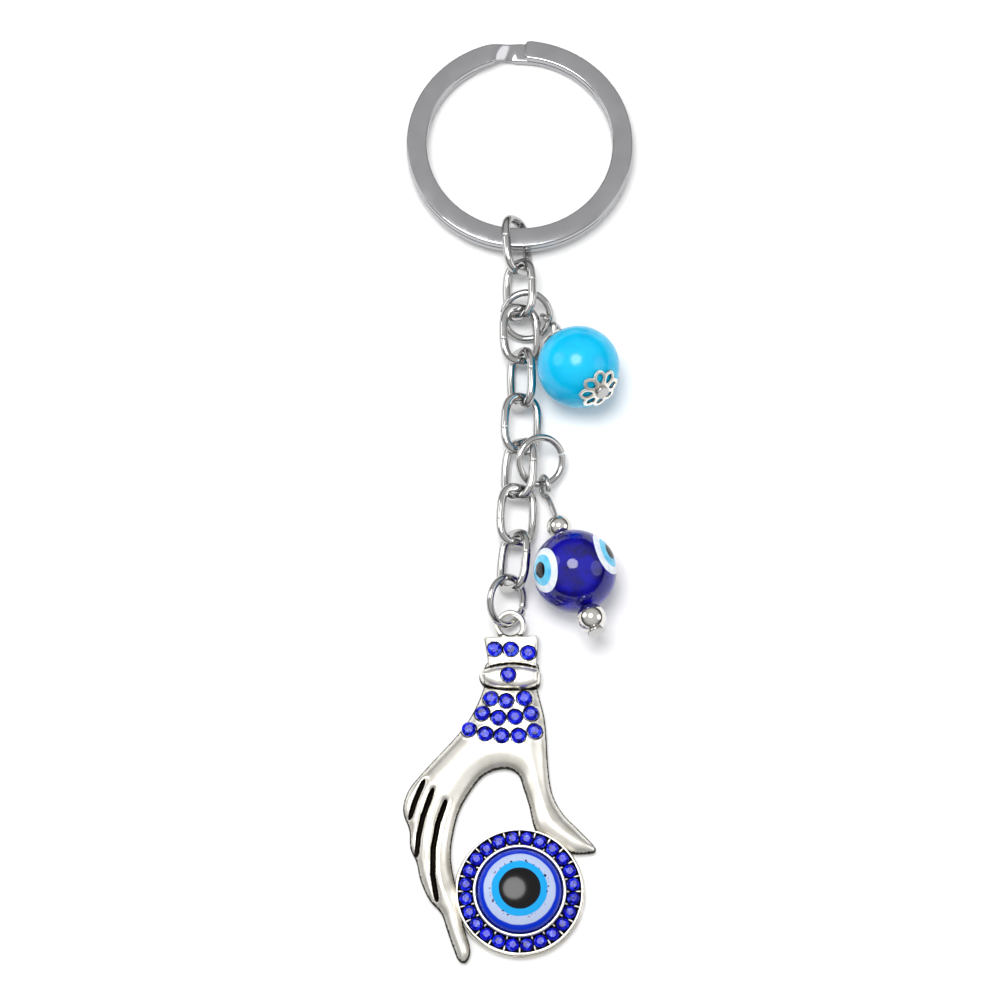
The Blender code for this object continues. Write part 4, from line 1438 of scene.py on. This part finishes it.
@dataclass
class CutStone:
    """A round cut stone: a table, eight stars, eight kites, sixteen girdle facets, a cone."""

    diameter: float
    crown: float = 0.36
    table: float = 0.56
    star_out: float = 0.8
    pavilion: float = 0.55

    def shell(self, place: Array, seed: int) -> Shell:
        """The stone at a place on its girdle's plane, turned and tipped a little by its seed.

        Args:
            place: the girdle's middle.
            seed: sets the turn and the tip.

        Returns:
            The stone.
        """
        chance = np.random.default_rng(1000 + seed)
        radius = self.diameter / 2
        twist = chance.uniform(0, 45)
        eighth = np.arange(8) * 45 + twist
        girdle = np.arange(16) * 22.5 + twist
        rings = [
            on_arc(radius * self.table, eighth, self.crown),
            on_arc(radius * self.star_out, eighth + 22.5, self.crown * 0.52),
            on_arc(radius, girdle, 0.03),
            on_arc(radius, girdle, -0.05),
            np.array([[0, 0, -self.pavilion], [0, 0, self.crown]]),
        ]
        k = np.arange(8)
        t, t_next, m, m_back = k, (k + 1) % 8, 8 + k, 8 + (k - 1) % 8
        g0, g1, g2 = 16 + 2 * k, 17 + 2 * k, 16 + (2 * k + 2) % 16
        j = np.arange(16)
        upper, upper_next = 16 + j, 16 + (j + 1) % 16
        lower, lower_next = upper + 16, upper_next + 16
        kites = np.stack([t, m_back, g0, m], axis=1)
        quads = np.vstack([kites, np.stack([upper, lower, lower_next, upper_next], axis=1)])
        triangles = np.vstack(
            [
                np.stack([t, m, t_next], axis=1),
                np.stack([m, g0, g1], axis=1),
                np.stack([m, g1, g2], axis=1),
                np.stack([lower, np.full(16, 48), lower_next], axis=1),
                np.stack([t, t_next, np.full(8, 49)], axis=1),
            ]
        )
        tip = chance.uniform(-0.05, 0.05, 2)
        axes = Place(place, np.array([1.0, 0, 0]), np.array([tip[0], tip[1], 1.0]))
        return Shell(axes.out(np.vstack(rings)), quads, triangles).facing_out()


@dataclass
class Hand:
    """The cast hand: relief over its outline, cuff, bracelet band and hanging loop."""

    medallion: Medallion
    cell: float = 0.1
    back: float = 0.06
    shelf: float = 0.85
    shelf_width: float = 0.1
    smoothing: int = 16
    face: float = 2.0
    cuff_face: float = 2.1
    band_face: float = 2.55
    stone: float = 1.7
    pit: float = 0.95
    groove_half: float = 0.27
    loop_at: tuple[float, float, float] = (-1.05, 32.3, 1.5)
    loop_inner: float = 2.4
    loop_wire: float = 0.74
    wrist_stones: int = 16
    groove_floor: float = 1.05
    cuff_bottom: float = 26.9
    cuff_round: float = 0.3
    band_edge: float = 1.3
    band_round: float = 1.1

    def rim(self, degrees: float, distance: float) -> tuple[float, float]:
        """A point at a distance outside the medallion's flange."""
        radius, angle = self.medallion.flange + distance, math.radians(degrees)
        return (radius * math.cos(angle), radius * math.sin(angle))

    def outline(self) -> Array:
        """The hand from the wrist down the back, round fingers, opening and thumb.

        Returns:
            The outline's points.
        """
        back = ((-3.7, 27.9), (-4.2, 24.9), (-5.3, 22.1), (-6.85, 19.6), (-11.3, 14.6))
        back += ((-13.1, 12.3), (-13.75, 9.9))
        fingers = ((150, 7.3), (157, 6.3), (163, 5.0), (172, 4.1), (184, 2.95), (195, 1.8))
        fingers += ((206, 1.85), (221, 2.5), (228.5, 3.0), (232.5, 2.65), (229.5, 1.2))
        fingers += ((212, 0.0), (203, -0.43), (178, -0.43), (169, 0.1))
        opening = ((-8.1, 4.6), (-7.6, 8.15), (-6.8, 10.5), (-4.8, 13.6), (-3.3, 14.65))
        opening += ((-1.4, 14.95), (-0.1, 14.2), (0.5, 12.6), (1.15, 10.5))
        thumb = ((78, 0.5), (71, -0.43), (46, -0.43), (37, 0.15), (29, 2.25), (30.5, 2.75))
        thumb += ((48, 2.6), (61, 3.05))
        wrist = ((4.0, 11.6), (3.5, 14.3), (3.05, 20.75), (2.1, 25), (2.0, 27.9))
        points = [*back, *(self.rim(*pair) for pair in fingers), *opening]
        points += [*(self.rim(*pair) for pair in thumb), *wrist]
        return smooth_loop(np.array(points), 6)

    def cuff(self) -> Array:
        """The cuff's outline, its sides drawn in a little at the middle."""
        top = [(-4.15, 30.9), (-1.0, 31.0), (2.3, 31.1)]
        return np.array([*top, (2.15, 28.6), (2.05, 26.9), (-3.65, 26.9), (-3.75, 28.6)])

    def band(self) -> Array:
        """The bracelet band's outline.

        Returns:
            The outline's points.
        """
        points = [(-4.5, 26.75), (-1.2, 27.5), (2.3, 26.95), (2.55, 26.1)]
        points += [(2.2, 24.85), (-1.45, 24.3), (-4.2, 25.1), (-4.75, 26.0)]
        return smooth_loop(np.array(points), 6)

    def grooves(self) -> list[Array]:
        """The lines between the fingers."""
        return [
            np.array([(-11.3, 13.35), (-12.3, 10.9), (-12.95, 8.8)]),
            np.array([(-10.25, 12.2), (-11.4, 8.9), (-11.9, 6.6), (-12.1, 4.4)]),
            np.array([(-8.7, 10.8), (-9.6, 8.2), (-10.15, 5.2), (-10.2, 2.0), (-9.7, -1.0)]),
        ]

    def seats(self) -> Array:
        """The middle of each wrist stone's top, from its CAD node."""
        corners = [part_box(f"wrist_stone_{k + 1:02d}") for k in range(self.wrist_stones)]
        return np.array([[(a[0] + b[0]) / 2, (a[1] + b[1]) / 2, b[2]] for a, b in corners]) / MM

    def dome(self, depth: Array) -> Array:
        """The bare hand's height over the grid, before its details.

        It rises in a quarter circle from a narrow shelf, then is averaged with its neighbours many
        times, which rounds off the crease along the middle of each finger.

        Args:
            depth: depth inside the hand's outline, on the grid.

        Returns:
            The height on the grid.
        """
        deep = depth - self.shelf_width
        height = self.shelf + (self.face - self.shelf) * round_rise(deep, 2.1)
        height += 0.45 * (1 - np.exp(-np.maximum(deep - 1.0, 0) / 2.2))
        for _ in range(self.smoothing):
            for axis in (0, 1):
                height = (np.roll(height, 1, axis) + 2 * height + np.roll(height, -1, axis)) / 4
        return height

    def relief(self, points: Array, shape: tuple[int, int]) -> tuple[Array, Array, Array, Array]:
        """The casting's face over a grid of 2D points.

        Each groove cuts down between rounded fingers. The cuff is a plate with an eased edge, the
        band a pillow, and each stone sits in a shallow pit with a raised rim.

        Args:
            points: the grid's points in one list.
            shape: the grid's rows and columns.

        Returns:
            Height, shade, depth inside the whole outline, and the nearest places on it.
        """
        hand_depth, hand_edge = inside_depth(points, self.outline())
        cuff_depth, cuff_edge = inside_depth(points, self.cuff())
        band_depth, band_edge = inside_depth(points, self.band())
        height = self.dome(hand_depth.reshape(shape)).ravel()
        # Painted shade: a dark line on the hand's outline, and a darkening that fades over about a
        # millimetre inwards as the dome falls away.
        shade = 0.85 * bell(hand_depth, 0.13) + 0.34 * np.exp(-np.maximum(hand_depth, 0) / 0.8)
        for line in self.grooves():
            away, places = nearest_on(points, line[:-1], line[1:])
            ends = (np.linalg.norm(places - end, axis=1) for end in (line[0], line[-1]))
            to_end = np.minimum(*ends)
            clear = away - self.groove_half * (0.55 + 0.45 * round_rise(to_end, 1.2))
            rise = 0.1 + 0.9 * round_rise(clear + 0.14, 0.85)
            height = self.groove_floor + (height - self.groove_floor) * rise
            shade = np.maximum(shade, 1.05 * (1 - np.clip((clear + 0.04) / 0.2, 0, 1)))
        rise = round_rise(cuff_depth, self.cuff_round)
        cuff_height = self.shelf + (self.cuff_face - self.shelf) * rise
        on_cuff = (cuff_depth > 0) & (points[:, 1] > self.cuff_bottom)
        height = np.where(on_cuff, cuff_height, height)
        # Dark round the cuff's edge: wash where it meets the hand, and painted shade where its edge
        # is the casting's outline.
        shade = np.where(on_cuff, 0.7 * bell(cuff_depth, 0.1), shade)
        rise = round_rise(band_depth, self.band_round)
        band_height = self.band_edge + (self.band_face - self.band_edge) * rise
        height = np.where(band_depth > 0, band_height, height - 0.35 * bell(band_depth, 0.2))
        seam = bell(band_depth + 0.05, 0.15) * (np.abs(points[:, 0] + 1.0) < 3.1)
        # On the band, painted shade where it crosses the hand's outline; the seam round the band is
        # wash.
        shade = np.maximum(np.where(band_depth > 0.15, 0.6 * bell(hand_depth, 0.1), shade), seam)
        for x, y, top in self.seats():
            away = np.hypot(points[:, 0] - x, points[:, 1] - y)
            pit = np.minimum(top - 0.75, height)
            raised = height + 0.06 * bell(away - self.pit - 0.14, 0.1)
            height = np.where(away < self.pit, pit, raised)
            shade = np.maximum(shade * (away > self.pit), 0.95 * bell(away - self.pit + 0.02, 0.09))
        depths = np.stack([hand_depth, cuff_depth, band_depth])
        edges = np.stack([hand_edge, cuff_edge, band_edge])
        pick = depths.argmax(axis=0)
        row = np.arange(len(points))
        return height, shade, depths[pick, row], edges[pick, row]

    def body(self) -> Shell:
        """The relief as a closed shell.

        Cells of a square grid are kept where all four corners lie inside the outline or within
        half a cell of it, and corners on the edge of what is kept are moved onto the outline. The
        back is the same cells at one height, and a wall joins the two along every free edge.

        Returns:
            The shell with the wash's shade, and painted shade along its outline and down its side
            walls.
        """
        outline = np.vstack([self.outline(), self.cuff(), self.band()])
        low, high = outline.min(axis=0) - self.cell, outline.max(axis=0) + self.cell
        x, y = (np.arange(low[k], high[k] + self.cell, self.cell) for k in (0, 1))
        grid = np.stack(np.meshgrid(x, y, indexing="ij"), axis=-1)
        flat = grid.reshape(-1, 2)
        height, shade, depth, edge = self.relief(flat, grid.shape[:2])
        clear = np.hypot(flat[:, 0], flat[:, 1]) > self.medallion.rim_outer - 0.12
        kept = ((depth > -self.cell / 2) & clear).reshape(grid.shape[:2])
        cells = kept[:-1, :-1] & kept[1:, :-1] & kept[1:, 1:] & kept[:-1, 1:]
        index = np.arange(len(flat)).reshape(kept.shape)
        corners = [index[:-1, :-1], index[1:, :-1], index[1:, 1:], index[:-1, 1:]]
        quads = np.stack(corners, axis=-1)[cells]
        used = np.unique(quads)
        touching = np.bincount(quads.ravel(), minlength=len(flat))[used]
        renumber = np.zeros(len(flat), int)
        renumber[used] = np.arange(len(used))
        quads = renumber[quads]
        place, top, tone = flat[used], height[used], shade[used]
        on_edge = (touching < 4) & (np.abs(depth[used]) < 1.6 * self.cell)
        place = np.where(on_edge[:, None], edge[used], place)
        top = np.where(on_edge, np.minimum(top, self.shelf), top)
        # Painted shade: the corners on the outline are dark.
        tone = np.where(on_edge, 0.85, tone)
        sides = np.vstack([quads[:, [k, (k + 1) % 4]] for k in range(4)])
        _, first, count = np.unique(
            np.sort(sides, axis=1), axis=0, return_index=True, return_counts=True
        )
        free = sides[first[count == 1]]
        under = len(used)
        walls = np.stack([free[:, 1], free[:, 0], free[:, 0] + under, free[:, 1] + under], axis=1)
        bottom = np.full(under, self.back)
        points = np.vstack([np.column_stack([place, top]), np.column_stack([place, bottom])])
        # Painted shade down the side walls: darkest at the top edge, less at the bottom.
        tones = np.concatenate([tone, np.where(on_edge, 0.45, 0.12)])
        faces = np.vstack([quads, walls, quads[:, ::-1] + under])
        return Shell(points, faces, shade=tones).facing_out()

    def loop(self) -> Shell:
        """The hanging loop, a ring of round wire, darker where it meets the cuff.

        Returns:
            The loop, with the wash's shade.
        """
        radius = (self.loop_inner + self.loop_wire) / 2
        path = np.array(self.loop_at) + on_arc(radius, np.arange(0, 360, 4))
        shell = swept(path, round_section(self.loop_wire), np.array([0, 0, 1.0]), True)
        shell.shade = bell(shell.points[:, 1] - 31.05, 0.16) * 0.8
        return shell

    def build(self, palette: Palette) -> None:
        """The casting, its loop and the wrist's stones.

        Args:
            palette: the charm's materials.
        """
        nodes = ("hand_casting",)
        add_piece("hand_relief", self.body(), palette.silver, "pendant", nodes, 55)
        add_piece("hanging_loop", self.loop(), palette.silver, "pendant")
        for k, (x, y, top) in enumerate(self.seats()):
            stone = CutStone(self.stone).shell(np.array([x, y, top - 0.34]), 50 + k)
            name = f"wrist_stone_{k + 1:02d}"
            seed = 60 + k
            add_piece(
                f"{name}_cut", stone, palette.stone, "pendant", (name,), 0, seed
            )


# ------------------------------------------------------------------ studio


@dataclass
class Studio:
    """A pale floor, soft lamps and the camera."""

    look_at: tuple[float, float, float] = (-2.29, 48.41, 0.0)
    distance: float = 480.0
    tilt: float = 16.5
    lens: float = 142.56

    def aimed(self, thing: bpy.types.Object, place: Array, target: Array) -> None:
        """Puts a lamp or camera at a place, looking at a target, with +Y up in its view.

        Args:
            thing: the lamp or camera.
            place: where it stands, in millimetres.
            target: what it looks at.
        """
        back = unit(place - target)
        right = unit(np.cross([0.0, 1.0, 0.0], back))
        matrix = np.eye(4)
        matrix[:3, 0], matrix[:3, 1], matrix[:3, 2] = right, np.cross(back, right), back
        matrix[:3, 3] = place * MM
        thing.matrix_world = Matrix(matrix.tolist())
        bpy.context.scene.collection.objects.link(thing)

    def lamp(self, name: str, place: tuple[float, float, float], size: float, watts: float) -> None:
        """Adds a round soft lamp aimed at the charm.

        Args:
            name: the lamp's name.
            place: where it stands, in millimetres.
            size: its diameter.
            watts: its power.
        """
        light = bpy.data.lights.new(name, "AREA")
        light.shape = "DISK"
        light.size = size * MM
        light.energy = watts
        self.aimed(bpy.data.objects.new(name, light), np.array(place), np.array(self.look_at))

    def build(self) -> None:
        """The floor, the lamps, the room's light and the camera."""
        floor = bpy.data.meshes.new("studio_floor")
        edge, low = 1.2, -0.00005
        corners = [(x * edge, y * edge, low) for x, y in ((-1, -1), (1, -1), (1, 1), (-1, 1))]
        floor.from_pydata(corners, [], [(0, 1, 2, 3)])
        floor.materials.append(PaperSweep("pale_paper_sweep", "#F7F7F7", 0.9).material())
        sweep = bpy.data.objects.new("studio_floor", floor)
        bpy.context.scene.collection.objects.link(sweep)
        self.lamp("lamp_over", (-55, 85, 450), 230, 1.35)
        self.lamp("lamp_left", (-420, 160, 260), 300, 0.45)
        self.lamp("lamp_right", (420, 40, 240), 300, 0.3)
        world = bpy.data.worlds.new("studio_room")
        world.use_nodes = True
        bpy.context.scene.world = world
        tree = world.node_tree
        way = add_node(tree, "TexCoord").outputs["Generated"]
        height = add_node(tree, "SeparateXYZ", in0=way).outputs["Z"]
        stops = [(0.0, 0.03), (0.25, 0.12), (0.5, 0.5), (0.75, 0.62), (1.0, 0.66)]
        room = add_node(tree, "ValToRGB", {"stops": stops}, in0=height)
        background = tree.nodes["Background"]
        tree.links.new(room.outputs["Color"], background.inputs["Color"])
        background.inputs["Strength"].default_value = 1.15
        camera = bpy.data.cameras.new("studio_camera")
        camera.lens = self.lens
        camera.sensor_width = 36
        camera.clip_start, camera.clip_end = 0.01, 10
        target = np.array(self.look_at)
        lean = math.radians(self.tilt)
        place = target + self.distance * np.array([0, -math.sin(lean), math.cos(lean)])
        eye = bpy.data.objects.new("studio_camera", camera)
        self.aimed(eye, place, target)
        bpy.context.scene.camera = eye
        bpy.context.scene.view_settings.view_transform = "Standard"


def main() -> None:
    """Builds the charm's pieces in order, then the studio."""
    logging.basicConfig(level=logging.INFO, format="%(name)s %(message)s")
    palette = Palette()
    SplitRing().build(palette)
    for number in range(1, 9):
        OvalLink(number).build(palette)
    cuts = {"turquoise": 175.0, "eye": 25.0, "pendant": -8.0}
    rings = {role: JumpRing(role, cut) for role, cut in cuts.items()}
    for ring in rings.values():
        ring.build(palette)
    TurquoiseDangle(rings["turquoise"]).build(palette)
    LampworkDangle(rings["eye"]).build(palette)
    medallion = Medallion()
    medallion.build(palette)
    Hand(medallion).build(palette)
    Studio().build()


if __name__ == "__main__":
    main()
